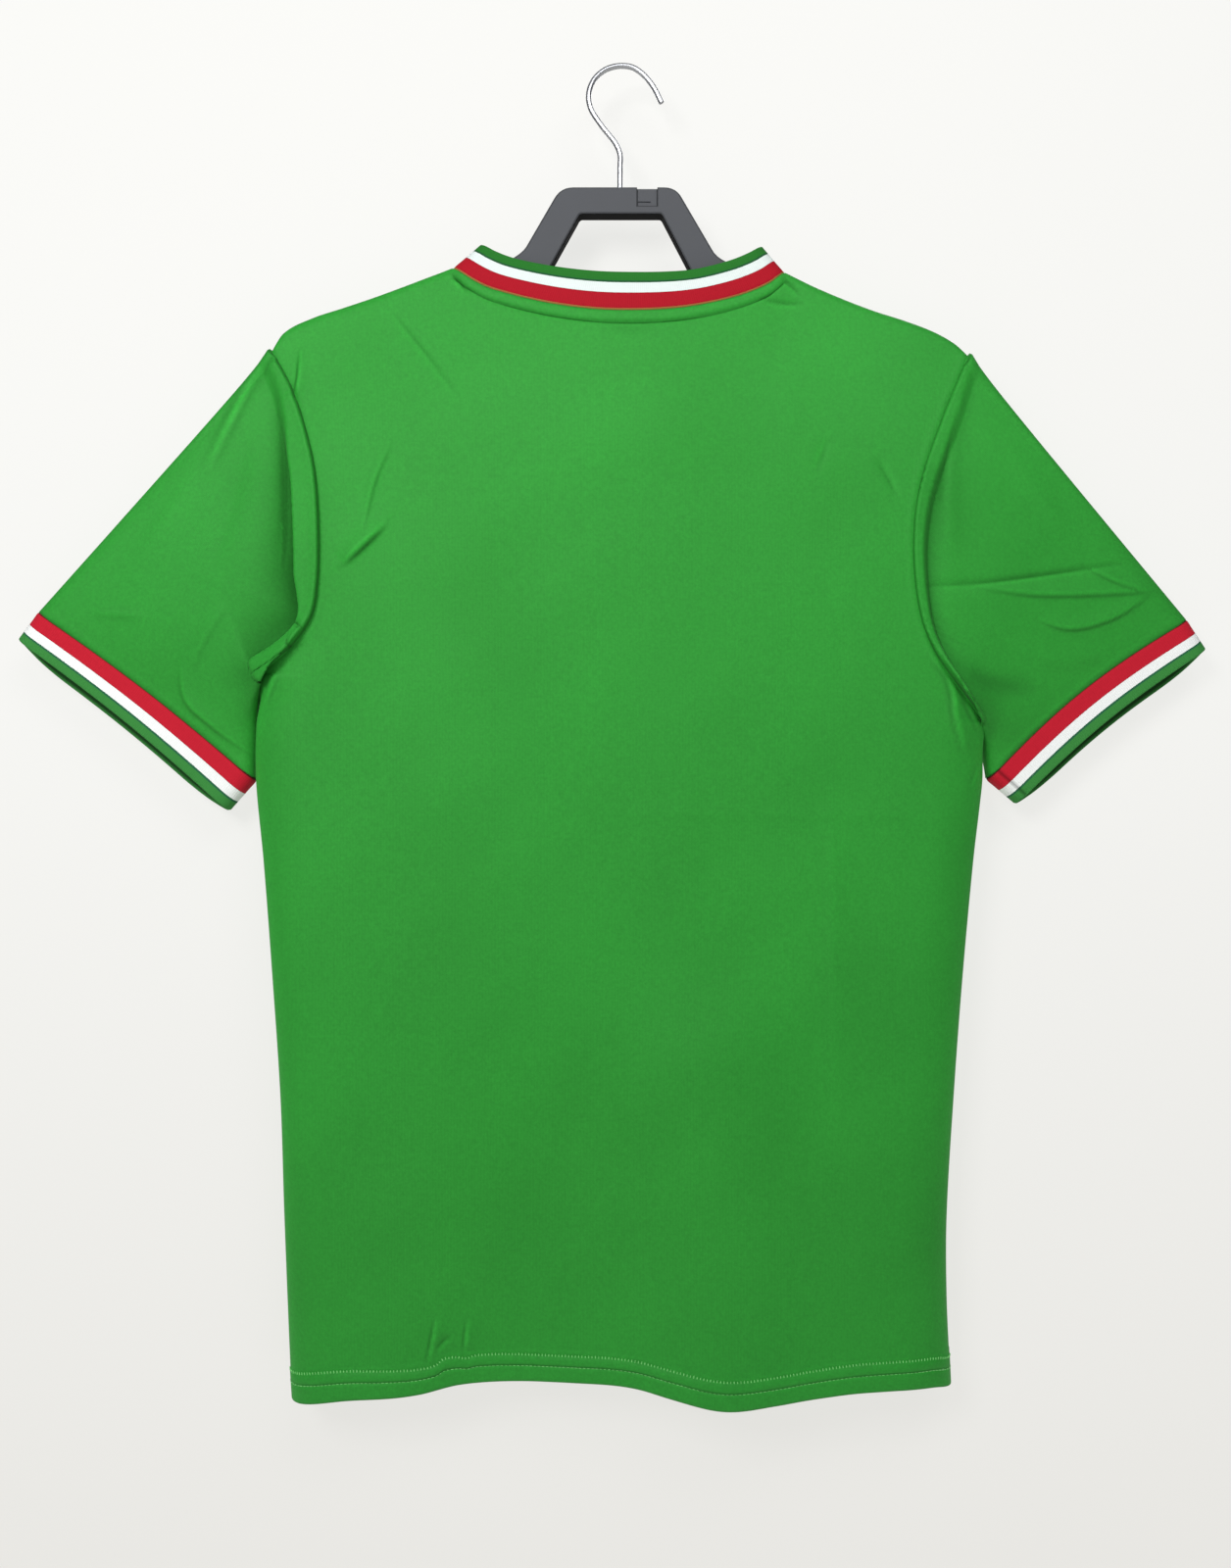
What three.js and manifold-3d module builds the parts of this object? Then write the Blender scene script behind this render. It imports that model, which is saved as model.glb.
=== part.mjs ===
import * as THREE from 'three';
import Module from 'manifold-3d';
import { mergeVertices } from 'three/addons/utils/BufferGeometryUtils.js';

// A short-sleeved football jersey with a ribbed crew collar and ribbed cuffs, hanging on a flat plastic
// hanger with a wire hook. Millimetres, +Z up. The jersey's back looks toward -Y, its front toward +Y.
// The origin is where the crown of the hook rests on whatever carries it.

// Cloth and seams
const CLOTH = 1.6;
const HEM_WALL = 2.4;
const HEM_TALL = 20;
const RIB_WALL = 2.0;
const SEAM_GAP = 0.3;
const LAP_ROOM = 1.2;

// How deep each half of the body stands off the middle plane, and how it turns over at its edges
const BACK = { name: 'back', toward: -1, deep: 18.5, neckSwell: 6.5, hemRise: 0 };
const FRONT = { name: 'front', toward: 1, deep: 13, neckSwell: 0, hemRise: 3 };
const SIDE_TURN = 34;
const EDGE_BAND = 26;
const ROLL_TALL = 7;
const ROLL_DEEP = 7.9;
const CHEST_DROP = 120;

// Side seams from hem to armpit, armholes from armpit to shoulder tip, one set for each side.
// stand is the share of the body's depth that the armhole seam has there.
const SIDES = {
  left: {
    sign: -1,
    seam: [
      { z: -851.1, x: -211.0 },
      { z: -829.1, x: -212.3 },
      { z: -734.9, x: -216.1 },
      { z: -659.5, x: -218.6 },
      { z: -584.1, x: -223.6 },
      { z: -508.8, x: -229.3 },
      { z: -455.0, x: -234.3 },
      { z: -420.8, x: -234.0 },
      { z: -404.0, x: -231.8 },
      { z: -389.4, x: -234.9 },
    ],
    armhole: [
      { x: -234.9, z: -389.4, stand: 0.0 },
      { x: -229.0, z: -386.6, stand: 0.56 },
      { x: -219.0, z: -380.5, stand: 0.85 },
      { x: -205.1, z: -368.7, stand: 0.98 },
      { x: -194.9, z: -353.0, stand: 1.0 },
      { x: -191.2, z: -333.0, stand: 1.0 },
      { x: -190.6, z: -298.6, stand: 1.0 },
      { x: -193.7, z: -261.2, stand: 1.0 },
      { x: -199.9, z: -235.8, stand: 1.0 },
      { x: -209.1, z: -209.6, stand: 1.0 },
      { x: -223.6, z: -182.4, stand: 1.0 },
    ],
    cuff: {
      top: { x: -376.5, z: -347.6 },
      bottom: { x: -237.4, z: -455.3 },
      bow: 3,
    },
    cuffEdge: {
      top: { x: -389.2, z: -364.7 },
      bottom: { x: -254.2, z: -474.3 },
      bow: 3,
    },
  },
  right: {
    sign: 1,
    seam: [
      { z: -841.7, x: 208.6 },
      { z: -829.1, x: 208.0 },
      { z: -785.2, x: 206.1 },
      { z: -734.9, x: 206.1 },
      { z: -659.5, x: 210.5 },
      { z: -584.1, x: 216.1 },
      { z: -508.8, x: 223.0 },
      { z: -471.1, x: 227.4 },
      { z: -455.4, x: 229.0 },
      { z: -438.0, x: 229.2 },
      { z: -420.8, x: 230.6 },
    ],
    armhole: [
      { x: 230.6, z: -420.8, stand: 0.0 },
      { x: 225.0, z: -414.2, stand: 0.55 },
      { x: 214.3, z: -402.0, stand: 0.85 },
      { x: 200.7, z: -384.2, stand: 0.98 },
      { x: 191.1, z: -366.0, stand: 1.0 },
      { x: 185.7, z: -347.8, stand: 1.0 },
      { x: 182.0, z: -310.9, stand: 1.0 },
      { x: 185.5, z: -273.5, stand: 1.0 },
      { x: 200.9, z: -229.0, stand: 1.0 },
      { x: 212.0, z: -203.0, stand: 1.0 },
      { x: 219.6, z: -185.6, stand: 1.0 },
    ],
    cuff: {
      top: { x: 362.7, z: -352.6 },
      bottom: { x: 235.0, z: -454.7 },
      bow: 7,
    },
    cuffEdge: {
      top: { x: 374.8, z: -371.0 },
      bottom: { x: 253.0, z: -469.9 },
      bow: 5,
    },
  },
};

// The two shoulder slopes from shoulder tip to neck point, and the back neckline between them
const SHOULDER_LEFT = [
  { x: -223.6, z: -182.4 },
  { x: -216.1, z: -170.6 },
  { x: -198.5, z: -161.4 },
  { x: -179.6, z: -155.1 },
  { x: -160.8, z: -148.8 },
  { x: -141.9, z: -141.9 },
  { x: -109.4, z: -129.6 },
];
const SHOULDER_RIGHT = [
  { x: 103.4, z: -132.4 },
  { x: 121.9, z: -141.4 },
  { x: 140.7, z: -149.4 },
  { x: 159.6, z: -156.6 },
  { x: 178.4, z: -162.6 },
  { x: 197.3, z: -169.8 },
  { x: 211.1, z: -177.6 },
  { x: 219.6, z: -185.6 },
];
const NECK_BACK = [
  { x: -109.4, z: -129.6 },
  { x: -97.1, z: -138.6 },
  { x: -84.4, z: -145.3 },
  { x: -53.2, z: -154.4 },
  { x: -22.3, z: -159.5 },
  { x: 8.5, z: -160.6 },
  { x: 39.4, z: -158.2 },
  { x: 70.5, z: -151.0 },
  { x: 92.6, z: -141.5 },
  { x: 103.4, z: -132.4 },
];
const NECK_FRONT_DROP = 88;

// The hem line of the back, left to right
const HEM = [
  { x: -211.0, z: -851.1 },
  { x: -203.0, z: -850.2 },
  { x: -175.0, z: -844.6 },
  { x: -129.0, z: -841.0 },
  { x: -103.0, z: -836.4 },
  { x: -66.0, z: -835.6 },
  { x: -28.0, z: -836.2 },
  { x: 8.0, z: -838.0 },
  { x: 30.0, z: -841.8 },
  { x: 63.0, z: -847.3 },
  { x: 95.0, z: -845.0 },
  { x: 118.0, z: -842.6 },
  { x: 155.0, z: -838.6 },
  { x: 194.0, z: -838.4 },
  { x: 208.6, z: -841.7 },
];

// Folds of the body: each is a soft ridge (lift above 0) or trough (below 0) along a line
const FOLDS_BACK = [
  { x0: 66, z0: -860, x1: 58, z1: -640, wide: 52, lift: 11 },
  { x0: -72, z0: -860, x1: -40, z1: -690, wide: 46, lift: -6 },
  { x0: -5, z0: -860, x1: 5, z1: -760, wide: 30, lift: -3 },
  { x0: -150, z0: -860, x1: -140, z1: -740, wide: 34, lift: 4 },
  { x0: 158, z0: -860, x1: 150, z1: -700, wide: 32, lift: 3 },
  { x0: 130, z0: -470, x1: 132, z1: -670, wide: 20, lift: 1.6 },
  { x0: -120, z0: -330, x1: -60, z1: -600, wide: 60, lift: 2 },
  { x0: 195, z0: -375, x1: 211, z1: -440, wide: 9, lift: 2.4 },
  { x0: 205, z0: -395, x1: 219, z1: -425, wide: 6, lift: -1.6 },
];
const FOLDS_FRONT = [
  { x0: 40, z0: -860, x1: 30, z1: -660, wide: 50, lift: 4 },
  { x0: -90, z0: -860, x1: -70, z1: -700, wide: 44, lift: -3 },
  { x0: 130, z0: -860, x1: 120, z1: -720, wide: 36, lift: -2.5 },
];

// The rolled lip of cloth along the back neckline
const NECK_LIP = { below: 4.2, wide: 3.4, lift: 1.7 };

// The sleeve cap swells beside the armhole seam, then sinks in a valley before the open sleeve
const CAP_SWELL = { from: 7, wide: 6, lift: 3.6 };
const CAP_VALLEY = { from: 24, wide: 11, lift: -7 };
const SLEEVE_PLUMP = 3;
const UNDERARM_SWELL = 4;
const UNDERARM_TUCK = 6;
const SLEEVE_BACKSET = 8;
const SLEEVE_HALF = 8;
const EDGE_FOLD = 11;
const CUFF_OVERHANG = 3;

// Collar: a rib band whose free edge stands above the neckline
const COLLAR_EDGE_BACK = [
  { x: -91.7, z: -114.9 },
  { x: -81.6, z: -121.4 },
  { x: -65.8, z: -127.4 },
  { x: -34.7, z: -133.7 },
  { x: -3.8, z: -136.3 },
  { x: 39.5, z: -134.9 },
  { x: 64.5, z: -128.8 },
  { x: 80.3, z: -122.2 },
  { x: 89.2, z: -116.1 },
];
const COLLAR_FOLD = 8.2;
const COLLAR_LEAN = 5.5;

// Hanger: a flat moulded frame and a wire hook standing in a bore of its top bar
const HANGER_THICK = 11;
const HANGER_BEVEL = 1.2;
const ARM_BELOW_CLOTH = 3.4;
const WIRE_RADIUS = 1.75;
const BORE_RADIUS = 2.1;
const BORE_DEEP = 11;
const BAR_TOP = -78;
const SHAFT_X = -2.1;

const lerp = (a, b, t) => a + (b - a) * t;
const clamp = (value, low, high) => Math.min(Math.max(value, low), high);
const smooth = (t) => clamp(t, 0, 1) ** 2 * (3 - 2 * clamp(t, 0, 1));
const bell = (distance, wide) => Math.exp(-((distance / wide) ** 2));
const quarterRound = (share) => Math.sqrt(1 - (1 - clamp(share, 0, 1)) ** 2);

// A smooth line through the rows of a table, read at one column to give another
function read(rows, from, to, at) {
  const order = rows[0][from] < rows[rows.length - 1][from] ? rows : [...rows].reverse();
  const last = order.length - 1;
  const place = clamp(at, order[0][from], order[last][from]);
  let i = 0;
  while (i < last - 1 && order[i + 1][from] < place) i += 1;
  const [a, b] = [order[i], order[i + 1]];
  const [before, after] = [order[Math.max(i - 1, 0)], order[Math.min(i + 2, last)]];
  const span = b[from] - a[from];
  const t = (place - a[from]) / span;
  const slopeA = ((b[to] - before[to]) / (b[from] - before[from])) * span;
  const slopeB = ((after[to] - a[to]) / (after[from] - a[from])) * span;
  const t2 = t * t;
  const t3 = t2 * t;
  return (2 * t3 - 3 * t2 + 1) * a[to] + (t3 - 2 * t2 + t) * slopeA
    + (3 * t2 - 2 * t3) * b[to] + (t3 - t2) * slopeB;
}

// Armhole curves, walked by length from the armpit (0) to the shoulder tip (1)
const armholeCurves = Object.fromEntries(Object.entries(SIDES).map(([name, side]) => {
  const knots = side.armhole.map((row) => new THREE.Vector3(row.x, row.stand * 20, row.z));
  const curve = new THREE.CatmullRomCurve3(knots, false, 'centripetal');
  curve.arcLengthDivisions = 600;
  return [name, curve];
}));

// One edge of the body at a height: 0 to 1 up the side seam, 1 to 2 up the armhole
function bodyEdge(name, climb) {
  const side = SIDES[name];
  const armpit = side.armhole[0];
  if (climb <= 1) {
    const z = lerp(side.seam[0].z, armpit.z, climb);
    return { x: read(side.seam, 'z', 'x', z), z, stand: 0 };
  }
  const spot = armholeCurves[name].getPointAt(clamp(climb - 1, 0, 1));
  return { x: spot.x, z: spot.z, stand: clamp(spot.y / 20, 0, 1) };
}

// Height of the shoulder slopes, carried straight across the neck
function shoulderLine(x) {
  const neckLeft = NECK_BACK[0];
  const neckRight = NECK_BACK[NECK_BACK.length - 1];
  if (x < neckLeft.x) return read(SHOULDER_LEFT, 'x', 'z', x);
  if (x > neckRight.x) return read(SHOULDER_RIGHT, 'x', 'z', x);
  return lerp(neckLeft.z, neckRight.z, (x - neckLeft.x) / (neckRight.x - neckLeft.x));
}

// Height of a panel's top edge
function topLine(face, x) {
  const neckLeft = NECK_BACK[0];
  const neckRight = NECK_BACK[NECK_BACK.length - 1];
  if (x <= neckLeft.x || x >= neckRight.x) return shoulderLine(x);
  if (face === BACK) return read(NECK_BACK, 'x', 'z', x);
  const across = 2 * ((x - neckLeft.x) / (neckRight.x - neckLeft.x)) - 1;
  return shoulderLine(x) - NECK_FRONT_DROP * (1 - Math.abs(across) ** 2.4) ** 0.8;
}

function foldLift(folds, x, z) {
  return folds.reduce((sum, fold) => {
    const [dx, dz] = [fold.x1 - fold.x0, fold.z1 - fold.z0];
    const along = clamp(((x - fold.x0) * dx + (z - fold.z0) * dz) / (dx * dx + dz * dz), 0, 1);
    const away = Math.hypot(x - fold.x0 - along * dx, z - fold.z0 - along * dz);
    return sum + fold.lift * bell(away, fold.wide);
  }, 0);
}

// Across a panel: -1 and 1 are its side edges, beyond 0.8 the cloth turns around the side
function panelAcross(edges, across) {
  const inset = (edge, share) => {
    const last = Math.acos(edge.stand);
    const turn = SIDE_TURN * (Math.sin(last) - Math.sin(last * share));
    return turn + EDGE_BAND * (1 - share) * (1 - Math.sin(last));
  };
  const [left, right] = edges;
  const share = clamp((Math.abs(across) - 0.8) / 0.2, 0, 1);
  if (across < -0.8) return left.x + inset(left, share);
  if (across > 0.8) return right.x - inset(right, share);
  return lerp(left.x + inset(left, 0), right.x - inset(right, 0), (across + 0.8) / 1.6);
}

function panelPoint(face, across, climb) {
  const edges = ['left', 'right'].map((name) => bodyEdge(name, climb));
  const tips = ['left', 'right'].map((name) => bodyEdge(name, 2));
  const hems = ['left', 'right'].map((name) => bodyEdge(name, 0));
  const x = panelAcross(edges, across);
  const xTop = panelAcross(tips, across);
  const xHem = panelAcross(hems, across);
  const shareOf = (pair, at) => (at - pair[0].x) / (pair[1].x - pair[0].x);
  const lineOf = (pair, at) => lerp(pair[0].z, pair[1].z, shareOf(pair, at));
  const up = clamp(climb - 1, 0, 1);
  const topRise = (topLine(face, xTop) - lineOf(tips, xTop)) * up ** 1.6;
  const hemShape = read(HEM, 'x', 'z', xHem) - lineOf(hems, xHem) + face.hemRise;
  const hemRise = hemShape * (1 - smooth(climb / 0.4));
  const z = lineOf(edges, x) + topRise + hemRise;

  const below = shoulderLine(x) - z;
  const edge = across < 0 ? edges[0] : edges[1];
  const turned = clamp((Math.abs(across) - 0.8) / 0.2, 0, 1) * Math.acos(edge.stand);
  const roll = quarterRound(below / ROLL_TALL);
  const depth = lerp(ROLL_DEEP, face.deep, smooth(below / CHEST_DROP));
  const neckMid = 1 - ((xTop + 3) / 112) ** 2;
  const fromTop = topLine(face, xTop) - z;
  const swell = face.neckSwell * Math.max(neckMid, 0) * bell(fromTop, 70);
  const lip = face === BACK && neckMid > 0
    ? NECK_LIP.lift * smooth(neckMid * 4) * bell(fromTop - NECK_LIP.below, NECK_LIP.wide)
    : 0;
  const folds = foldLift(face === BACK ? FOLDS_BACK : FOLDS_FRONT, x, z);
  const out = (depth + swell + folds) * roll * Math.cos(turned) + lip * roll;
  return new THREE.Vector3(x, face.toward * (SEAM_GAP / 2 + out), z);
}

// Columns across the panels, with one at each neck point, and rows from hem to shoulder
const NECK_LEFT_ACROSS = acrossAt(NECK_BACK[0].x);
const NECK_RIGHT_ACROSS = acrossAt(NECK_BACK[NECK_BACK.length - 1].x);
const NECK_SHARES = [0, 0.018, 0.05, 0.1, 0.18, 0.28, 0.39, 0.5, 0.61, 0.72, 0.82, 0.9, 0.95, 0.982, 1];
const COLUMNS = [
  ...[0, 0.3, 0.6, 0.85].map((share) => -1 + share * 0.2),
  ...[0, 0.33, 0.66].map((share) => lerp(-0.8, NECK_LEFT_ACROSS, share)),
  ...NECK_SHARES.map((share) => lerp(NECK_LEFT_ACROSS, NECK_RIGHT_ACROSS, share)),
  ...[0.34, 0.67, 1].map((share) => lerp(NECK_RIGHT_ACROSS, 0.8, share)),
  ...[0.15, 0.4, 0.7, 1].map((share) => 0.8 + share * 0.2),
];
const HEM_ROWS = [0, HEM_TALL / 440, (HEM_TALL + 2.5) / 440];
const SIDE_ROWS = [0.12, 0.22, 0.33, 0.45, 0.57, 0.69, 0.8, 0.89, 0.95];
const ARM_ROWS = [0, 0.025, 0.06, 0.11, 0.17, 0.24, 0.32, 0.41, 0.5, 0.59, 0.68, 0.76, 0.83, 0.885,
  0.925, 0.953, 0.972, 0.984, 0.993, 1];
const ROWS = [...HEM_ROWS, ...SIDE_ROWS, ...ARM_ROWS.map((share) => 1 + share)];
const ARMPIT_ROW = HEM_ROWS.length + SIDE_ROWS.length;

function acrossAt(xTop) {
  const tips = ['left', 'right'].map((name) => bodyEdge(name, 2));
  const low = tips[0].x + EDGE_BAND;
  const high = tips[1].x - EDGE_BAND;
  return -0.8 + 1.6 * ((xTop - low) / (high - low));
}

// Normals of a grid of points; a grid that closes on itself wraps around its columns
function gridNormals(grid, closed) {
  const [rows, columns] = [grid.length, grid[0].length];
  return grid.map((row, i) => row.map((_, j) => {
    const left = closed ? (j + columns - 1) % columns : Math.max(j - 1, 0);
    const right = closed ? (j + 1) % columns : Math.min(j + 1, columns - 1);
    const low = Math.max(i - 1, 0);
    const high = Math.min(i + 1, rows - 1);
    const alongRow = new THREE.Vector3().subVectors(grid[i][right], grid[i][left]);
    const alongColumn = new THREE.Vector3().subVectors(grid[high][j], grid[low][j]);
    return alongRow.cross(alongColumn).normalize();
  }));
}

// A sheet with a wall: both faces of the grid and the rim that joins them
function slab(grid, normals, wallOf, closed) {
  const [rows, columns] = [grid.length, grid[0].length];
  const positions = [];
  [0.5, -0.5].forEach((half) => grid.forEach((row, i) => row.forEach((point, j) => {
    const spot = point.clone().addScaledVector(normals[i][j], half * wallOf(i, j));
    positions.push(spot.x, spot.y, spot.z);
  })));
  const top = (i, j) => i * columns + (j % columns);
  const under = (i, j) => rows * columns + top(i, j);
  const faces = [];
  const quad = (a, b, c, d) => faces.push(a, b, c, a, c, d);
  const spans = closed ? columns : columns - 1;
  for (let i = 0; i < rows - 1; i += 1) {
    for (let j = 0; j < spans; j += 1) {
      quad(top(i, j), top(i, j + 1), top(i + 1, j + 1), top(i + 1, j));
      quad(under(i, j), under(i + 1, j), under(i + 1, j + 1), under(i, j + 1));
    }
  }
  for (let j = 0; j < spans; j += 1) {
    quad(top(0, j + 1), top(0, j), under(0, j), under(0, j + 1));
    quad(top(rows - 1, j), top(rows - 1, j + 1), under(rows - 1, j + 1), under(rows - 1, j));
  }
  if (!closed) {
    for (let i = 0; i < rows - 1; i += 1) {
      quad(top(i, 0), top(i + 1, 0), under(i + 1, 0), under(i, 0));
      quad(top(i + 1, columns - 1), top(i, columns - 1), under(i, columns - 1), under(i + 1, columns - 1));
    }
  }
  return outward(new THREE.BufferGeometry()
    .setAttribute('position', new THREE.Float32BufferAttribute(positions, 3))
    .setIndex(faces));
}

function outward(geometry) {
  const spots = geometry.getAttribute('position');
  const index = geometry.getIndex();
  const corner = (k) => new THREE.Vector3().fromBufferAttribute(spots, index.getX(k));
  let volume = 0;
  for (let k = 0; k < index.count; k += 3) {
    volume += corner(k).dot(corner(k + 1).cross(corner(k + 2))) / 6;
  }
  if (volume < 0) {
    for (let k = 0; k < index.count; k += 3) {
      const [b, c] = [index.getX(k + 1), index.getX(k + 2)];
      index.setX(k + 1, c);
      index.setX(k + 2, b);
    }
  }
  geometry.computeVertexNormals();
  return geometry;
}

// Body panels. Where the two meet, at the sides and shoulders, their walls face each other squarely.
function bodyPanel(face) {
  const grid = ROWS.map((climb) => COLUMNS.map((across) => panelPoint(face, across, climb)));
  const normals = gridNormals(grid, false);
  const meets = (i, j) => {
    const atSide = (j === 0 || j === COLUMNS.length - 1) && i <= ARMPIT_ROW;
    const offNeck = COLUMNS[j] <= NECK_LEFT_ACROSS + 1e-9 || COLUMNS[j] >= NECK_RIGHT_ACROSS - 1e-9;
    return atSide || (i === ROWS.length - 1 && offNeck);
  };
  normals.forEach((row, i) => row.forEach((normal, j) => {
    if (meets(i, j)) normal.setY(0).normalize();
    if (normal.dot(new THREE.Vector3(0, face.toward, 0)) < 0) normal.negate();
  }));
  return { grid, normals };
}

// Points where the two panels meet keep the way out that belongs to their side or shoulder
function pointOut(panel) {
  const last = COLUMNS.length - 1;
  panel.normals.forEach((row, i) => row.forEach((normal, j) => {
    if (j === 0 && i <= ARMPIT_ROW && normal.x > 0) normal.negate();
    if (j === last && i <= ARMPIT_ROW && normal.x < 0) normal.negate();
    if (i === ROWS.length - 1 && Math.abs(normal.y) < 1e-6 && normal.z < 0) normal.negate();
  }));
  return panel;
}

const panels = { back: pointOut(bodyPanel(BACK)), front: pointOut(bodyPanel(FRONT)) };
const hemWall = (i) => (i < 2 ? HEM_WALL : CLOTH);

// A ring of seam points around an opening: down the back half, up the front half
function armholeRing(name) {
  const column = name === 'left' ? 0 : COLUMNS.length - 1;
  const last = ARM_ROWS.length - 1;
  const pick = (panel, step) => {
    const row = ARMPIT_ROW + last - step;
    const [at, out] = [panel.grid[row][column].clone(), panel.normals[row][column].clone()];
    const above = panel.grid[Math.min(row + 1, ARMPIT_ROW + last)][column];
    const below = panel.grid[Math.max(row - 1, ARMPIT_ROW)][column];
    const off = new THREE.Vector3().subVectors(above, below).cross(out).normalize();
    const inward = new THREE.Vector3().subVectors(panel.grid[row][column === 0 ? 1 : column - 1], at);
    return { at, out, off: off.multiplyScalar(-Math.sign(off.dot(inward)) || 1) };
  };
  const down = ARM_ROWS.map((_, step) => ({ ...pick(panels.back, step), half: 'back', step }));
  const up = ARM_ROWS.map((_, step) => ({ ...pick(panels.front, last - step), half: 'front' }))
    .map((spot, step) => ({ ...spot, step: last - step }))
    .slice(1, last);
  down[0].at.y = 0;
  down[last].at.y = 0;
  return [...down, ...up].map((spot) => ({ ...spot, share: 1 - ARM_ROWS[last - spot.step] }));
}

// The sleeve fans out: the low part of the armhole leads to the last part of the cuff line
const fan = (share) => share - 0.17 * Math.sin(Math.PI * share ** 1.5);

// Along a cuff line from its top fold to its bottom fold
function cuffPoint(line, half, share, overhang) {
  const { top, bottom, bow } = line;
  const span = new THREE.Vector2(bottom.x - top.x, bottom.z - top.z);
  const long = span.length();
  const rise = new THREE.Vector2(-span.y, span.x).multiplyScalar(1 / long);
  const lift = (rise.y > 0 ? bow : -bow) * Math.sin(Math.PI * share);
  const fromFold = Math.min(share, 1 - share) * long;
  const deep = SLEEVE_HALF * quarterRound(fromFold / EDGE_FOLD);
  const toward = half === 'back' ? -1 : 1;
  const below = half === 'front' ? overhang * quarterRound(fromFold / 40) : 0;
  return new THREE.Vector3(
    top.x + span.x * share + rise.x * lift - Math.abs(rise.x) * Math.sign(rise.x * rise.y) * below,
    SLEEVE_BACKSET + toward * deep,
    top.z + span.y * share + rise.y * lift - Math.abs(rise.y) * below,
  );
}

const SLEEVE_STATIONS = [0, 0.018, 0.04, 0.07, 0.11, 0.16, 0.24, 0.36, 0.52, 0.7, 0.86, 1];

function sleeveGrid(name) {
  const side = SIDES[name];
  const ring = armholeRing(name);
  const grid = SLEEVE_STATIONS.map((way) => ring.map((spot) => {
    const end = cuffPoint(side.cuff, spot.half, fan(spot.share), 0);
    const point = spot.at.clone().lerp(end, way);
    const toward = spot.half === 'back' ? -1 : 1;
    const away = way * spot.at.distanceTo(end);
    const middle = Math.sin(Math.PI * spot.share);
    const cap = CAP_SWELL.lift * bell(away - CAP_SWELL.from, CAP_SWELL.wide)
      + CAP_VALLEY.lift * bell(away - CAP_VALLEY.from, CAP_VALLEY.wide);
    const fade = clamp(away / 3, 0, 1) * (1 - smooth((way - 0.5) / 0.4)) * (1 - smooth((spot.share - 0.66) / 0.16));
    point.y += toward * cap * fade * middle ** 0.7 * (spot.half === 'back' ? 1 : 0.5);
    const tuck = smooth((spot.share - 0.7) / 0.14) * (1 - smooth((spot.share - 0.955) / 0.045));
    point.y += toward * UNDERARM_TUCK * tuck * smooth(way / 0.05) * (1 - smooth((way - 0.1) / 0.5));
    point.y += toward * SLEEVE_PLUMP * middle * Math.sin(Math.PI * way);
    const underarm = smooth((spot.share - 0.78) / 0.17) * smooth(way / 0.07) * (1 - smooth(way / 0.95));
    point.x += side.sign * UNDERARM_SWELL * underarm;
    point.y += SLEEVE_BACKSET * smooth((spot.share - 0.85) / 0.15) * (smooth(way / 0.25) - way);
    return point;
  }));
  return openGap(grid, ring, CLOTH);
}

// Moves the first ring of a sheet off the seam it is sewn to, so that the two walls stay apart
function openGap(grid, seam, wall) {
  const normals = gridNormals(grid, true);
  const first = grid[0].map((point) => point.clone());
  const middle = Math.floor(first.length / 4);
  const facing = Math.sign(normals[0][middle].dot(seam[middle].out));
  const moves = first.map((point, j) => {
    const lead = new THREE.Vector3().subVectors(grid[1][j], point).normalize();
    const agree = clamp(normals[0][j].dot(seam[j].out) * facing, -1, 1);
    const bend = Math.sqrt(1 - agree * agree);
    const gap = SEAM_GAP + wall * (0.5 * bend + 0.4 * bend * bend);
    const lapped = Math.min(2.2 * Math.max(-agree, -lead.dot(seam[j].off), 0) ** 0.5, 1);
    return lead.multiplyScalar(gap).addScaledVector(seam[j].out, lapped * (wall + LAP_ROOM));
  });
  return grid.map((row, i) => row.map((point, j) => {
    const hold = i === 0 ? 1 : (1 - i / grid.length) ** 3;
    return point.clone().addScaledVector(moves[j], hold);
  }));
}

// Cuffs carry on from the last ring of the sleeve to their own edge
const CUFF_STATIONS = [0, 0.5, 0.75, 1];
function cuffGrid(name, sleeve) {
  const side = SIDES[name];
  const ring = armholeRing(name);
  const seam = sleeve[sleeve.length - 1];
  const edge = ring.map((spot) => cuffPoint(side.cuffEdge, spot.half, fan(spot.share), CUFF_OVERHANG));
  return CUFF_STATIONS.map((way) => seam.map((start, j) => {
    const lead = new THREE.Vector3().subVectors(edge[j], start).normalize();
    return start.clone().addScaledVector(lead, SEAM_GAP + 0.45).lerp(edge[j], way);
  }));
}

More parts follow.
